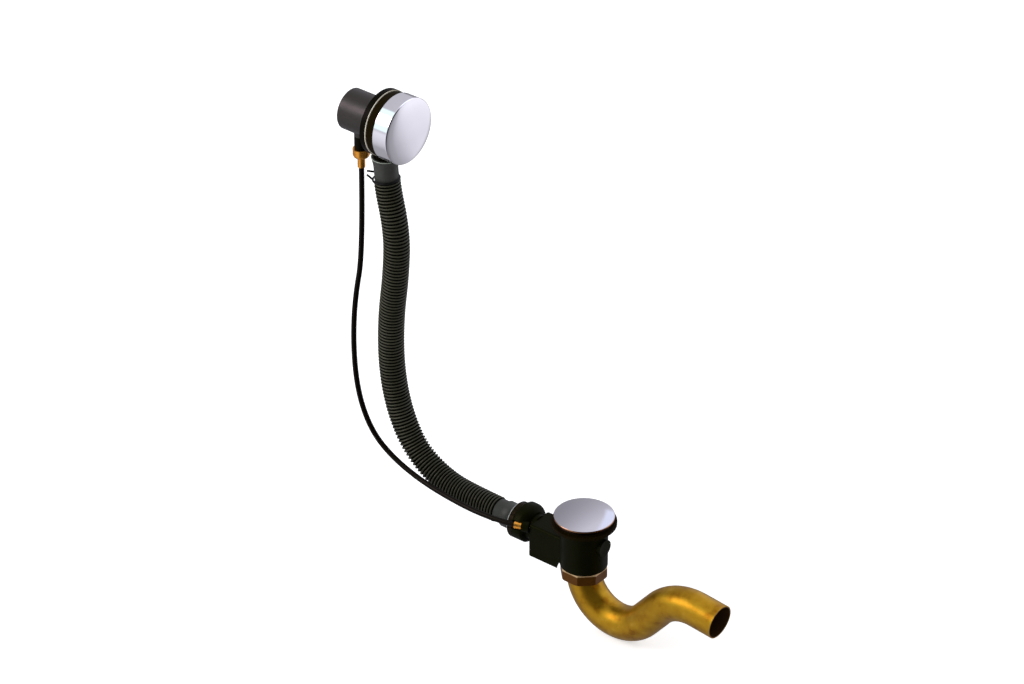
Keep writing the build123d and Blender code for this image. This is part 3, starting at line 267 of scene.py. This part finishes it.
def hose_profile():
    """Stations and radii down the outside of the hose."""
    ribbed_end = hose_length - HOSE_LOWER_CUFF
    count = round((ribbed_end - HOSE_UPPER_CUFF) / HOSE_RIB_PITCH)
    pitch = (ribbed_end - HOSE_UPPER_CUFF) / count
    cuff_slope = pitch / 4
    profile = [(0.0, HOSE_FLARE_R - HOSE_RIM)]
    for step in range(FLARE_STEPS + 1):
        down = step / FLARE_STEPS
        radius = HOSE_NECK_R + (HOSE_FLARE_R - HOSE_NECK_R) * (1 - down) ** 2
        profile.append((HOSE_RIM + (HOSE_FLARE - HOSE_RIM) * down, radius))
    profile.append((HOSE_UPPER_CUFF - cuff_slope, HOSE_NECK_R))
    for rib in range(count):
        for step in range(RIB_STEPS):
            turn = 2 * math.pi * step / RIB_STEPS
            swell = (0.5 - 0.5 * math.cos(turn)) ** RIB_FULLNESS
            radius = HOSE_ROOT_R + (HOSE_CREST_R - HOSE_ROOT_R) * swell
            profile.append((HOSE_UPPER_CUFF + (rib + step / RIB_STEPS) * pitch, radius))
    collar_start = hose_length - HOSE_COLLAR_START
    collar_end = collar_start + HOSE_COLLAR_LENGTH
    return [
        *profile,
        (ribbed_end, HOSE_ROOT_R),
        (ribbed_end + cuff_slope, HOSE_CUFF_R),
        (collar_start, HOSE_CUFF_R),
        (collar_start + HOSE_COLLAR_SLOPE, HOSE_COLLAR_R),
        (collar_end - HOSE_COLLAR_SLOPE, HOSE_COLLAR_R),
        (collar_end, HOSE_CUFF_R),
        (hose_length, HOSE_CUFF_R),
    ]


def swept_tube(name, rings, line, along, segments):
    """A tube along a line in the XZ plane, its rings down the outside and back up the bore."""
    side = Vector((0, 1, 0))
    vertices, faces = [], []
    for station, radius in rings:
        centre, forward = place_along(line, along, station)
        vertices += circle(centre, side, forward.cross(side), radius, segments)
    for ring in range(len(rings)):
        here = ring * segments
        after = (ring + 1) % len(rings) * segments
        for segment in range(segments):
            beside = (segment + 1) % segments
            faces.append((here + segment, here + beside, after + beside, after + segment))
    tube = smooth_piece(name, vertices, faces)
    tube.data.validate()
    return tube


hose_rings = hose_profile()
hose_rings += [(hose_length * step / BORE_STEPS, HOSE_BORE_R) for step in range(BORE_STEPS, -1, -1)]
hose = swept_tube("ribbed_hose", hose_rings, hose_line, hose_along, HOSE_SEGMENTS)
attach(hose, "base")
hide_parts("overflow_hose")


def arc(centre, radius, first, last, steps):
    """Points along a circle's arc, from one angle to another in degrees."""
    angles = [math.radians(first + (last - first) * step / steps) for step in range(steps + 1)]
    return [(centre[0] + radius * math.cos(angle), centre[1] + radius * math.sin(angle)) for angle in angles]


def dome(rise, reach, steps):
    """Heights and radii from a dome's top to its rim, the rim at height 0."""
    radius = (rise**2 + reach**2) / (2 * rise)
    spread = math.asin(reach / radius)
    angles = [spread * step / steps for step in range(steps + 1)]
    return [(rise - radius * (1 - math.cos(angle)), radius * math.sin(angle)) for angle in angles]


def cushion(rise, reach, steps):
    """Heights and radii of a dome that falls faster near its rim, which is at height 0."""
    parts = [step / steps for step in range(steps + 1)]
    return [(rise * (1 - (2 * part**2 + part**6) / 3), reach * part) for part in parts]


def turned(name, profile, centre, axis, side, segments):
    """A solid turned about an axis from heights and radii, which start and end on the axis."""
    over = axis.cross(side)
    vertices = [centre + axis * profile[0][0], centre + axis * profile[-1][0]]
    first = len(vertices)
    rings = profile[1:-1]
    for height, radius in rings:
        vertices += circle(centre + axis * height, side, over, radius, segments)
    last = first + (len(rings) - 1) * segments
    faces = []
    for segment in range(segments):
        beside = (segment + 1) % segments
        faces.append((0, first + segment, first + beside))
        for ring in range(first, last, segments):
            after = ring + segments
            faces.append((ring + segment, after + segment, after + beside, ring + beside))
        faces.append((1, last + beside, last + segment))
    solid = smooth_piece(name, vertices, faces)
    solid.data.set_sharp_from_angle(angle=SHARP_ANGLE)
    return solid


# Knob: a low cushion, a narrow rounded edge and a plain rim, hollow behind
knob_tilt = math.atan(CUSHION_FALL * KNOB_DOME / KNOB_R)
knob_reach = KNOB_R - KNOB_EDGE * (1 - math.sin(knob_tilt))
knob_face = [
    (KNOB_FACE_X + rise, radius) for rise, radius in cushion(KNOB_DOME, knob_reach, KNOB_FACE_STEPS)
]
knob_edge = arc(
    (KNOB_FACE_X - KNOB_EDGE * math.cos(knob_tilt), KNOB_R - KNOB_EDGE),
    KNOB_EDGE,
    math.degrees(knob_tilt) + EDGE_START_DEG,
    90,
    KNOB_EDGE_STEPS,
)
knob = turned(
    "knob_cap",
    [
        *knob_face,
        *knob_edge,
        (KNOB_BACK_X, KNOB_R),
        (KNOB_BACK_X, KNOB_BORE_R),
        (KNOB_FLOOR_X, KNOB_BORE_R),
        (KNOB_FLOOR_X, 0.0),
    ],
    Vector((0, 0, OVERFLOW_Z)),
    Vector((1, 0, 0)),
    Vector((0, 1, 0)),
    CAP_SEGMENTS,
)
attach(knob, "knob")
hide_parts("control_knob")

# Plug: a low dome with a round rim, and a boss with the stem's bore under it
plug_face = [
    (PLUG_RIM_Z + rise, radius) for rise, radius in dome(PLUG_DOME, PLUG_R - PLUG_EDGE, PLUG_FACE_STEPS)
]
plug_edge = arc((PLUG_R - PLUG_EDGE, 0.0), PLUG_EDGE, 90 - EDGE_START_DEG, -90, PLUG_EDGE_STEPS)
plug = turned(
    "plug_disc",
    [
        *plug_face,
        *[(PLUG_RIM_Z - PLUG_EDGE + up, out) for out, up in plug_edge],
        (PLUG_RIM_Z - 2 * PLUG_EDGE, PLUG_BOSS_R),
        (PLUG_BOSS_Z, PLUG_BOSS_R),
        (PLUG_BOSS_Z, STEM_BORE_R),
        (PLUG_RIM_Z, STEM_BORE_R),
        (PLUG_RIM_Z, 0.0),
    ],
    Vector((0, 0, 0)),
    Vector((0, 0, 1)),
    Vector((1, 0, 0)),
    CAP_SEGMENTS,
)
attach(plug, "plug")
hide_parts("plug_cap")


# Finishes
def finish(name, base, roughness, metallic=0.0, specular=0.5, gloss=WHITE):
    """A material, its node tree and its shader, with plain values that a tint or a mottle may vary."""
    material = bpy.data.materials.new(name)
    material.use_nodes = True
    shader = material.node_tree.nodes["Principled BSDF"]
    shader.inputs["Base Color"].default_value = (*base, 1.0)
    shader.inputs["Roughness"].default_value = roughness
    shader.inputs["Metallic"].default_value = metallic
    shader.inputs["Specular IOR Level"].default_value = specular
    shader.inputs["Specular Tint"].default_value = (*gloss, 1.0)
    return material, material.node_tree, shader


def noise(tree, scale, detail=NOISE_DETAIL):
    """Noise in the model's own frame, from 0 to 1."""
    coordinates = tree.nodes.new("ShaderNodeTexCoord")
    texture = tree.nodes.new("ShaderNodeTexNoise")
    texture.inputs["Scale"].default_value = scale
    texture.inputs["Detail"].default_value = detail
    tree.links.new(coordinates.outputs["Object"], texture.inputs["Vector"])
    return texture.outputs["Fac"]


def frame_axis(tree, axis):
    """One coordinate in the model's own frame."""
    coordinates = tree.nodes.new("ShaderNodeTexCoord")
    split = tree.nodes.new("ShaderNodeSeparateXYZ")
    tree.links.new(coordinates.outputs["Object"], split.inputs["Vector"])
    return split.outputs[axis]


def axis_distance(tree, point, axis):
    """Distance from a line in the model's own frame."""
    coordinates = tree.nodes.new("ShaderNodeTexCoord")
    arm = tree.nodes.new("ShaderNodeVectorMath")
    arm.operation = "SUBTRACT"
    arm.inputs[1].default_value = point
    across = tree.nodes.new("ShaderNodeVectorMath")
    across.operation = "CROSS_PRODUCT"
    across.inputs[1].default_value = axis
    length = tree.nodes.new("ShaderNodeVectorMath")
    length.operation = "LENGTH"
    tree.links.new(coordinates.outputs["Object"], arm.inputs[0])
    tree.links.new(arm.outputs["Vector"], across.inputs[0])
    tree.links.new(across.outputs["Vector"], length.inputs[0])
    return length.outputs["Value"]


def mapped(tree, value, limits, results=(0.0, 1.0)):
    """A straight run between two results as the value goes between two limits, and level past them."""
    run = tree.nodes.new("ShaderNodeMapRange")
    run.inputs["From Min"].default_value = limits[0]
    run.inputs["From Max"].default_value = limits[1]
    run.inputs["To Min"].default_value = results[0]
    run.inputs["To Max"].default_value = results[1]
    tree.links.new(value, run.inputs["Value"])
    return run.outputs["Result"]


def combined(tree, operation, first, second):
    """Two values put together, as by MULTIPLY or MAXIMUM."""
    joint = tree.nodes.new("ShaderNodeMath")
    joint.operation = operation
    tree.links.new(first, joint.inputs[0])
    tree.links.new(second, joint.inputs[1])
    return joint.outputs["Value"]


def blend(tree, value, *stops):
    """A colour from a value, through (place, colour) stops."""
    ramp = tree.nodes.new("ShaderNodeValToRGB")
    while len(ramp.color_ramp.elements) < len(stops):
        ramp.color_ramp.elements.new(0.5)
    for element, (place, colour) in zip(ramp.color_ramp.elements, stops):
        element.position = place
        element.color = (*colour, 1.0)
    tree.links.new(value, ramp.inputs["Fac"])
    return ramp.outputs["Color"]


def tint(tree, shader, value, *stops):
    """Base colour from a value, through (place, colour) stops."""
    tree.links.new(blend(tree, value, *stops), shader.inputs["Base Color"])


def mottle(tree, shader, scale, dark, pale):
    """Base colour in patches of two shades."""
    low, high = NOISE_LIMITS
    tint(tree, shader, noise(tree, scale), (low, dark), (high, pale))


def roughen(tree, shader, scale, low, high, detail=NOISE_DETAIL):
    """Roughness in patches, between two limits."""
    patches = mapped(tree, noise(tree, scale, detail), NOISE_LIMITS, (low, high))
    tree.links.new(patches, shader.inputs["Roughness"])


def grain(tree, shader, scale, detail, depth):
    """A fine relief of that depth in metres."""
    bump = tree.nodes.new("ShaderNodeBump")
    bump.inputs["Strength"].default_value = 1.0
    bump.inputs["Distance"].default_value = depth
    tree.links.new(noise(tree, scale, detail), bump.inputs["Height"])
    tree.links.new(bump.outputs["Normal"], shader.inputs["Normal"])


# Chrome of the knob
chrome, tree, shader = finish("chrome", base=(0.87, 0.86, 0.89), roughness=0.06, metallic=1.0)
roughen(tree, shader, scale=35.0, low=0.04, high=0.09)
mottle(tree, shader, scale=12.0, dark=(0.86, 0.85, 0.88), pale=(0.89, 0.88, 0.9))

# Chrome of the plug, with a painted brown reflection where its rim turns under
plug_chrome, tree, shader = finish("plug_chrome", base=(0.55, 0.54, 0.57), roughness=0.08, metallic=1.0)
roughen(tree, shader, scale=35.0, low=0.06, high=0.1)
painted_reflection_limits = (PLUG_RIM_Z - PAINTED_REFLECTION_FADE * PLUG_EDGE, PLUG_RIM_Z - PAINTED_REFLECTION_GONE * PLUG_EDGE)
plug_top = mapped(tree, frame_axis(tree, "Z"), painted_reflection_limits)
tint(tree, shader, plug_top, (0.0, (0.4, 0.19, 0.08)), (1.0, (0.55, 0.54, 0.57)))

# Black plastic of the overflow head, with its paler barrel
overflow_plastic, tree, shader = finish(
    "overflow_plastic", base=(0.012, 0.01, 0.008), roughness=0.36, gloss=(1.0, 0.92, 0.92)
)
roughen(tree, shader, scale=60.0, low=0.32, high=0.4)
barrel = combined(
    tree,
    "MULTIPLY",
    mapped(tree, frame_axis(tree, "X"), (BARREL_FRONT_X, BARREL_FRONT_X - BARREL_EDGE)),
    mapped(tree, frame_axis(tree, "Z"), (BARREL_LOW_Z, BARREL_LOW_Z + BARREL_EDGE)),
)
tint(tree, shader, barrel, (0.0, (0.0035, 0.0025, 0.0006)), (1.0, (0.016, 0.013, 0.009)))
barrel_sheen = mapped(tree, barrel, (0.0, 1.0), BARREL_SHEEN)
tree.links.new(barrel_sheen, shader.inputs["Specular IOR Level"])
grain(tree, shader, MOULD_SCALE, MOULD_DETAIL, MOULD_DEPTH)

# Black plastic of the waste
waste_plastic, tree, shader = finish(
    "waste_plastic", base=(0.004, 0.0044, 0.0007), roughness=0.4, specular=0.04, gloss=(1.0, 1.0, 0.5)
)
roughen(tree, shader, scale=60.0, low=0.34, high=0.5)
mottle(tree, shader, scale=25.0, dark=(0.0034, 0.0038, 0.0005), pale=(0.005, 0.0055, 0.001))
grain(tree, shader, MOULD_SCALE, MOULD_DETAIL, MOULD_DEPTH)

# Browner black plastic of the union nut
union_plastic, tree, shader = finish(
    "union_plastic", base=(0.006, 0.0045, 0.001), roughness=0.4, specular=0.1, gloss=(1.0, 0.72, 0.4)
)
roughen(tree, shader, scale=60.0, low=0.34, high=0.5)
mottle(tree, shader, scale=25.0, dark=(0.005, 0.0038, 0.0007), pale=(0.0072, 0.0052, 0.0014))
grain(tree, shader, MOULD_SCALE, MOULD_DETAIL, MOULD_DEPTH)

# Chrome of the waste flange, painted dark as the shade of the plug over it
chrome_painted_shade, tree, shader = finish("chrome_painted_shade", base=(0.01, 0.006, 0.004), roughness=0.3, metallic=1.0)
roughen(tree, shader, scale=35.0, low=0.25, high=0.36)
mottle(tree, shader, scale=12.0, dark=(0.008, 0.0045, 0.003), pale=(0.012, 0.0075, 0.005))

# Black rubber of the gaskets and seals
ring_rubber, tree, shader = finish(
    "ring_rubber", base=(0.008, 0.0048, 0.0005), roughness=0.6, specular=0.05, gloss=(1.0, 0.8, 0.4)
)
roughen(tree, shader, scale=80.0, low=0.5, high=0.7)
mottle(tree, shader, scale=30.0, dark=(0.006, 0.0035, 0.0003), pale=(0.01, 0.006, 0.0008))

# Cream plastic of the slip washer and the bush
cream_plastic, tree, shader = finish("cream_plastic", base=(0.7, 0.65, 0.52), roughness=0.5)
mottle(tree, shader, scale=60.0, dark=(0.66, 0.6, 0.47), pale=(0.74, 0.69, 0.57))

# Steel of the faceplate, the screws, the wires and the mechanism
steel, tree, shader = finish("steel", base=(0.6, 0.6, 0.62), roughness=0.3, metallic=1.0)
roughen(tree, shader, scale=90.0, low=0.22, high=0.38)
mottle(tree, shader, scale=40.0, dark=(0.55, 0.55, 0.57), pale=(0.66, 0.66, 0.68))

# Stained brass of the trap pipe, with painted shade in the bore at its open end
pipe_brass, tree, shader = finish(
    "pipe_brass", base=(0.36, 0.19, 0.01), roughness=0.44, metallic=0.78, specular=0.2
)
roughen(tree, shader, scale=45.0, low=0.3, high=0.42, detail=5.0)
from_axis = axis_distance(tree, OUTLET_POINT, OUTLET_AXIS)
# Painted shade: 0 in the bore near the open end, where the tint paints it dark, and 1 outside it and deeper
# in
outside = combined(
    tree,
    "MAXIMUM",
    mapped(tree, from_axis, (PIPE_BORE_R + PIPE_SKIN, PIPE_BORE_R + 2 * PIPE_SKIN)),
    mapped(tree, frame_axis(tree, "X"), (OUTLET_DEPTH_X + PIPE_SKIN, OUTLET_DEPTH_X)),
)
tint(
    tree,
    shader,
    combined(tree, "MULTIPLY", outside, noise(tree, scale=70.0, detail=8.0)),
    (0.0, (0.13, 0.065, 0.022)),
    (0.2, (0.24, 0.105, 0.0025)),
    (0.3, (0.305, 0.132, 0.003)),
    (0.43, (0.425, 0.22, 0.0095)),
    (0.58, (0.475, 0.26, 0.0135)),
    (0.72, (0.585, 0.345, 0.036)),
)
grain(tree, shader, scale=260.0, detail=5.0, depth=0.00007)

# Brass of the coupling nut, painted dark as a reflection of the black body above it, with a painted
# highlight at its top edge
nut_brass, tree, shader = finish(
    "nut_brass", base=(0.1, 0.036, 0.002), roughness=0.4, metallic=0.6, specular=0.2
)
roughen(tree, shader, scale=120.0, low=0.32, high=0.46)
nut_painted_highlight = mapped(tree, frame_axis(tree, "Z"), (NUT_EDGE_Z - NUT_EDGE, NUT_EDGE_Z))
tint(tree, shader, nut_painted_highlight, (0.0, (0.12, 0.043, 0.002)), (1.0, (0.75, 0.52, 0.27)))

# Bright brass of the cable's fittings and the plug's stem
bright_brass, tree, shader = finish(
    "bright_brass", base=(0.8, 0.34, 0.045), roughness=0.2, metallic=0.85, specular=0.3
)
roughen(tree, shader, scale=150.0, low=0.15, high=0.25)
mottle(tree, shader, scale=90.0, dark=(0.74, 0.3, 0.035), pale=(0.86, 0.38, 0.055))

# Black sheath of the control cable
sheath, tree, shader = finish(
    "sheath", base=(0.003, 0.0018, 0.0006), roughness=0.3, specular=0.1, gloss=(1.0, 0.9, 0.75)
)
roughen(tree, shader, scale=90.0, low=0.24, high=0.4)

# Grey plastic of the hose's ribs
hose_ribbed, tree, shader = finish(
    "hose_ribbed", base=(0.043, 0.042, 0.027), roughness=0.45, specular=0.3, gloss=(1.0, 1.0, 0.85)
)
roughen(tree, shader, scale=70.0, low=0.38, high=0.52)
mottle(tree, shader, scale=30.0, dark=(0.037, 0.036, 0.022), pale=(0.049, 0.048, 0.032))

# Painted shade in the grooves between the ribs and in the hose's bore along them
hose_groove_shade, tree, shader = finish(
    "hose_groove_shade", base=(0.002, 0.0021, 0.0009), roughness=0.6, specular=0.02
)
mottle(tree, shader, scale=30.0, dark=(0.0016, 0.0017, 0.0006), pale=(0.0024, 0.0025, 0.0012))

# Smooth grey plastic of the hose's two ends
hose_cuff, tree, shader = finish("hose_cuff", base=(0.042, 0.044, 0.037), roughness=0.42, specular=0.3)
roughen(tree, shader, scale=70.0, low=0.36, high=0.5)
mottle(tree, shader, scale=30.0, dark=(0.038, 0.04, 0.033), pale=(0.046, 0.048, 0.041))

# Pale rim at the top of the hose
hose_rim, tree, shader = finish("hose_rim", base=(0.36, 0.4, 0.33), roughness=0.5)
mottle(tree, shader, scale=90.0, dark=(0.33, 0.37, 0.3), pale=(0.4, 0.44, 0.37))

# Black plastic of the hose tie
wire_plastic, tree, shader = finish(
    "wire_plastic", base=(0.006, 0.006, 0.006), roughness=0.4, specular=0.15
)
roughen(tree, shader, scale=200.0, low=0.3, high=0.5)

# Each finish, with the model's own nodes that show it; the inlet seal keeps the frame's grey rubber
FINISHES = [
    (chrome_painted_shade, ["waste_flange"]),
    (overflow_plastic, ["overflow_housing", "rear_cap", "knob_insert", "cable_drum"]),
    (waste_plastic, ["waste_body", "box_cover"]),
    (union_plastic, ["union_nut"]),
    (ring_rubber, [
        "overflow_gasket", "upper_gasket", "lower_gasket", "plug_seal", "spindle_o_ring", "coupling_washer",
    ]),
    (cream_plastic, ["slip_washer", "spindle_bush"]),
    (steel, [
        "spindle", "drum_grub_screw", "drum_wire_turn", "spindle_clip", "seal_retainer", "faceplate",
        "faceplate_screws", "upper_wire", "box_cover_screws", "lift_lever", "lever_pin", "pull_wire",
    ]),
    (pipe_brass, ["trap_pipe"]),
    (nut_brass, ["coupling_nut"]),
    (bright_brass, [
        "cable_gland_nut", "upper_ferrule", "lower_ferrule", "plug_stem", "stem_lock_nut", "wire_bar",
    ]),
    (wire_plastic, ["hose_tie"]),
]


def dress(thing, material):
    """Gives a piece one material all over."""
    thing.data.materials.clear()
    thing.data.materials.append(material)


for material, dressed in FINISHES:
    for node in dressed:
        dress(nodes[node], material)
dress(cable, sheath)
dress(knob, chrome)
dress(plug, plug_chrome)

# Places of the hose's four finishes in its list of materials
RIBBED, GROOVE, CUFF, RIM = range(4)
for material in (hose_ribbed, hose_groove_shade, hose_cuff, hose_rim):
    hose.data.materials.append(material)
# Faces under this radius take the painted shade of the grooves
groove_r = HOSE_ROOT_R + (HOSE_CREST_R - HOSE_ROOT_R) * GROOVE_SHARE


def hose_finish(ring):
    """Which finish the hose has between a ring and the next."""
    station, radius = hose_rings[ring]
    next_radius = hose_rings[(ring + 1) % len(hose_rings)][1]
    if ring == 0:
        return RIM
    if station < HOSE_UPPER_CUFF or station > hose_length - HOSE_LOWER_CUFF:
        return CUFF
    if (radius + next_radius) / 2 < groove_r:
        return GROOVE
    return RIBBED


for face in hose.data.polygons:
    face.material_index = hose_finish(face.index // HOSE_SEGMENTS)

# Floor: a white sheet with a faint shadow, which reflections look past
FLOOR_DROP = 0.0005
FLOOR_HALF = 40.0
FLOOR_GLOW = 0.55
floor_z = cad_box[0].z - FLOOR_DROP
floor_corners = [(x * FLOOR_HALF, y * FLOOR_HALF, floor_z) for x, y in ((-1, -1), (1, -1), (1, 1), (-1, 1))]
floor_mesh = bpy.data.meshes.new("floor")
floor_mesh.from_pydata(floor_corners, [], [(0, 1, 2, 3)])
floor = bpy.data.objects.new("floor", floor_mesh)
floor.visible_glossy = False
scene.collection.objects.link(floor)
floor_paint, tree, shader = finish("floor_paint", base=(0.9, 0.9, 0.9), roughness=0.9, specular=0.0)
dress(floor, floor_paint)
floor_rays = tree.nodes.new("ShaderNodeLightPath")
floor_glow = mapped(tree, floor_rays.outputs["Is Camera Ray"], (0.0, 1.0), (0.0, FLOOR_GLOW))
shader.inputs["Emission Color"].default_value = (*WHITE, 1.0)
tree.links.new(floor_glow, shader.inputs["Emission Strength"])

# Studio that reflections see: directions, the limits along them or an axis, and colours
HORIZON_Z = (-0.08, 0.08)
FLOOR_LEFT_Y = (-0.85, 0.65)
FLOOR_SIDES_X = (0.12, 0.34)
BEHIND = (0.0, 1.0, 0.35)
BEHIND_LIMITS = (0.2, 0.7)
FAR_FLOOR_Z = (-0.52, -0.3)
FAR_FLOOR_Y = (0.52, 0.66)
FAR_FLOOR_LIGHT = (1.04, 1.03, 1.13)
CEILING_X = (-0.75, -0.25)
ROOM = (0.8, -0.5, 0.33)
ROOM_LIMITS = (0.3, 0.6)
ROOM_LIGHT = (0.05, 0.05, 0.06)
WINDOW = (0.93, 0.08, -0.36)
WINDOW_LIMITS = (-0.508, -0.488)
WINDOW_Z = (0.42, 0.48)
WINDOW_Y = (0.1, 0.3)
WINDOW_LIGHT = (1.25, 1.32, 1.6)
KEY = (-0.57, -0.62, 0.54)
KEY_HALO_LIMITS = (0.85, 0.89)
KEY_HALO_LIGHT = (1.02, 1.22, 1.24)
KEY_CORE_LIMITS = (0.965, 0.98)
KEY_CORE_LIGHT = (5.4, 4.5, 5.0)
LILAC_GREY = (0.98, 0.97, 1.07)
PLAIN_LIGHT = (0.53, 0.53, 0.55)

# World: white behind the part, a plain light on it, and the studio for reflections
world = bpy.data.worlds.new("studio")
scene.world = world
world.use_nodes = True
sky = world.node_tree
sky.nodes.clear()
direction = sky.nodes.new("ShaderNodeTexCoord").outputs["Generated"]
axes = sky.nodes.new("ShaderNodeSeparateXYZ")
sky.links.new(direction, axes.inputs["Vector"])


def along_axis(axis, limits):
    """From 0 to 1 as the view turns between two limits along an axis."""
    return mapped(sky, axes.outputs[axis], limits)


def towards(vector, limits):
    """From 0 to 1 as the view turns between two limits towards a vector."""
    along = sky.nodes.new("ShaderNodeVectorMath")
    along.operation = "DOT_PRODUCT"
    along.inputs[1].default_value = vector
    sky.links.new(direction, along.inputs[0])
    return mapped(sky, along.outputs["Value"], limits)


def plain(colour):
    """A part of the world with one colour."""
    part = sky.nodes.new("ShaderNodeBackground")
    part.inputs["Color"].default_value = (*colour, 1.0)
    return part.outputs["Background"]


def greys(value, *stops):
    """A part of the world in lilac greys, from a value through (place, brightness) stops."""
    part = sky.nodes.new("ShaderNodeBackground")
    shades = [(place, tuple(channel * bright for channel in LILAC_GREY)) for place, bright in stops]
    sky.links.new(blend(sky, value, *shades), part.inputs["Color"])
    return part.outputs["Background"]


def mixed(factor, first, second):
    """One part of the world where the factor is 0, another where it is 1."""
    mix = sky.nodes.new("ShaderNodeMixShader")
    sky.links.new(factor, mix.inputs["Fac"])
    sky.links.new(first, mix.inputs[1])
    sky.links.new(second, mix.inputs[2])
    return mix.outputs["Shader"]


floor_left = greys(
    along_axis("Y", FLOOR_LEFT_Y),
    (0.0, 0.92), (0.07, 0.77), (0.17, 0.62), (0.28, 0.4), (0.6, 0.38), (0.9, 0.25),
)
floor_behind = greys(
    towards(BEHIND, BEHIND_LIMITS),
    (0.0, 0.22), (0.15, 0.34), (0.31, 0.4), (0.44, 0.54),
    (0.5, 0.65), (0.55, 0.75), (0.64, 0.83), (1.0, 0.88),
)
ceiling = greys(
    along_axis("X", CEILING_X),
    (0.0, 0.42), (0.2, 0.46), (0.36, 0.56), (0.5, 0.68),
    (0.6, 0.78), (0.7, 0.88), (0.8, 1.0), (1.0, 1.1),
)
far_floor = combined(sky, "MULTIPLY", along_axis("Z", FAR_FLOOR_Z), along_axis("Y", FAR_FLOOR_Y))
behind = mixed(far_floor, floor_behind, plain(FAR_FLOOR_LIGHT))
below = mixed(along_axis("X", FLOOR_SIDES_X), floor_left, behind)
studio = mixed(along_axis("Z", HORIZON_Z), below, ceiling)
studio = mixed(towards(ROOM, ROOM_LIMITS), studio, plain(ROOM_LIGHT))
window = combined(sky, "MULTIPLY", towards(WINDOW, WINDOW_LIMITS), along_axis("Z", WINDOW_Z))
window = combined(sky, "MULTIPLY", window, along_axis("Y", WINDOW_Y))
studio = mixed(window, studio, plain(WINDOW_LIGHT))
studio = mixed(towards(KEY, KEY_HALO_LIMITS), studio, plain(KEY_HALO_LIGHT))
studio = mixed(towards(KEY, KEY_CORE_LIMITS), studio, plain(KEY_CORE_LIGHT))

rays = sky.nodes.new("ShaderNodeLightPath")
lit = mixed(rays.outputs["Is Glossy Ray"], plain(PLAIN_LIGHT), studio)
direct = combined(sky, "MAXIMUM", rays.outputs["Is Camera Ray"], rays.outputs["Is Transmission Ray"])
output = sky.nodes.new("ShaderNodeOutputWorld")
sky.links.new(mixed(direct, lit, plain(WHITE)), output.inputs["Surface"])

# Soft boxes: direction from the middle of the part, distance, side, power and colour
MIDDLE = Vector((-0.07, 0.0, 0.15))
SOFT_BOXES = {
    "key": ((-0.53, -0.66, 0.53), 2.2, 1.1, 24.0, (0.95, 0.98, 1.0)),
    "back": ((-0.2, 0.84, 0.5), 2.4, 0.9, 12.0, (0.93, 0.96, 1.0)),
}
for name, (place, distance, side, power, colour) in SOFT_BOXES.items():
    lamp = bpy.data.lights.new(name, "AREA")
    lamp.shape = "SQUARE"
    lamp.size = side
    lamp.energy = power
    lamp.color = colour
    box = bpy.data.objects.new(name, lamp)
    outward = Vector(place).normalized()
    box.location = MIDDLE + outward * distance
    box.rotation_euler = (-outward).to_track_quat("-Z", "Y").to_euler()
    box.visible_glossy = False
    scene.collection.objects.link(box)

# Camera
lens = bpy.data.cameras.new("camera")
lens.lens = CAMERA_LENS_MM
lens.clip_end = CAMERA_REACH
camera = bpy.data.objects.new("camera", lens)
camera.location = CAMERA_PLACE
facing = Vector((
    -math.sin(CAMERA_AZIMUTH) * math.cos(CAMERA_ELEVATION),
    math.cos(CAMERA_AZIMUTH) * math.cos(CAMERA_ELEVATION),
    -math.sin(CAMERA_ELEVATION),
))
camera.rotation_euler = facing.to_track_quat("-Z", "Y").to_euler()
scene.collection.objects.link(camera)
scene.camera = camera
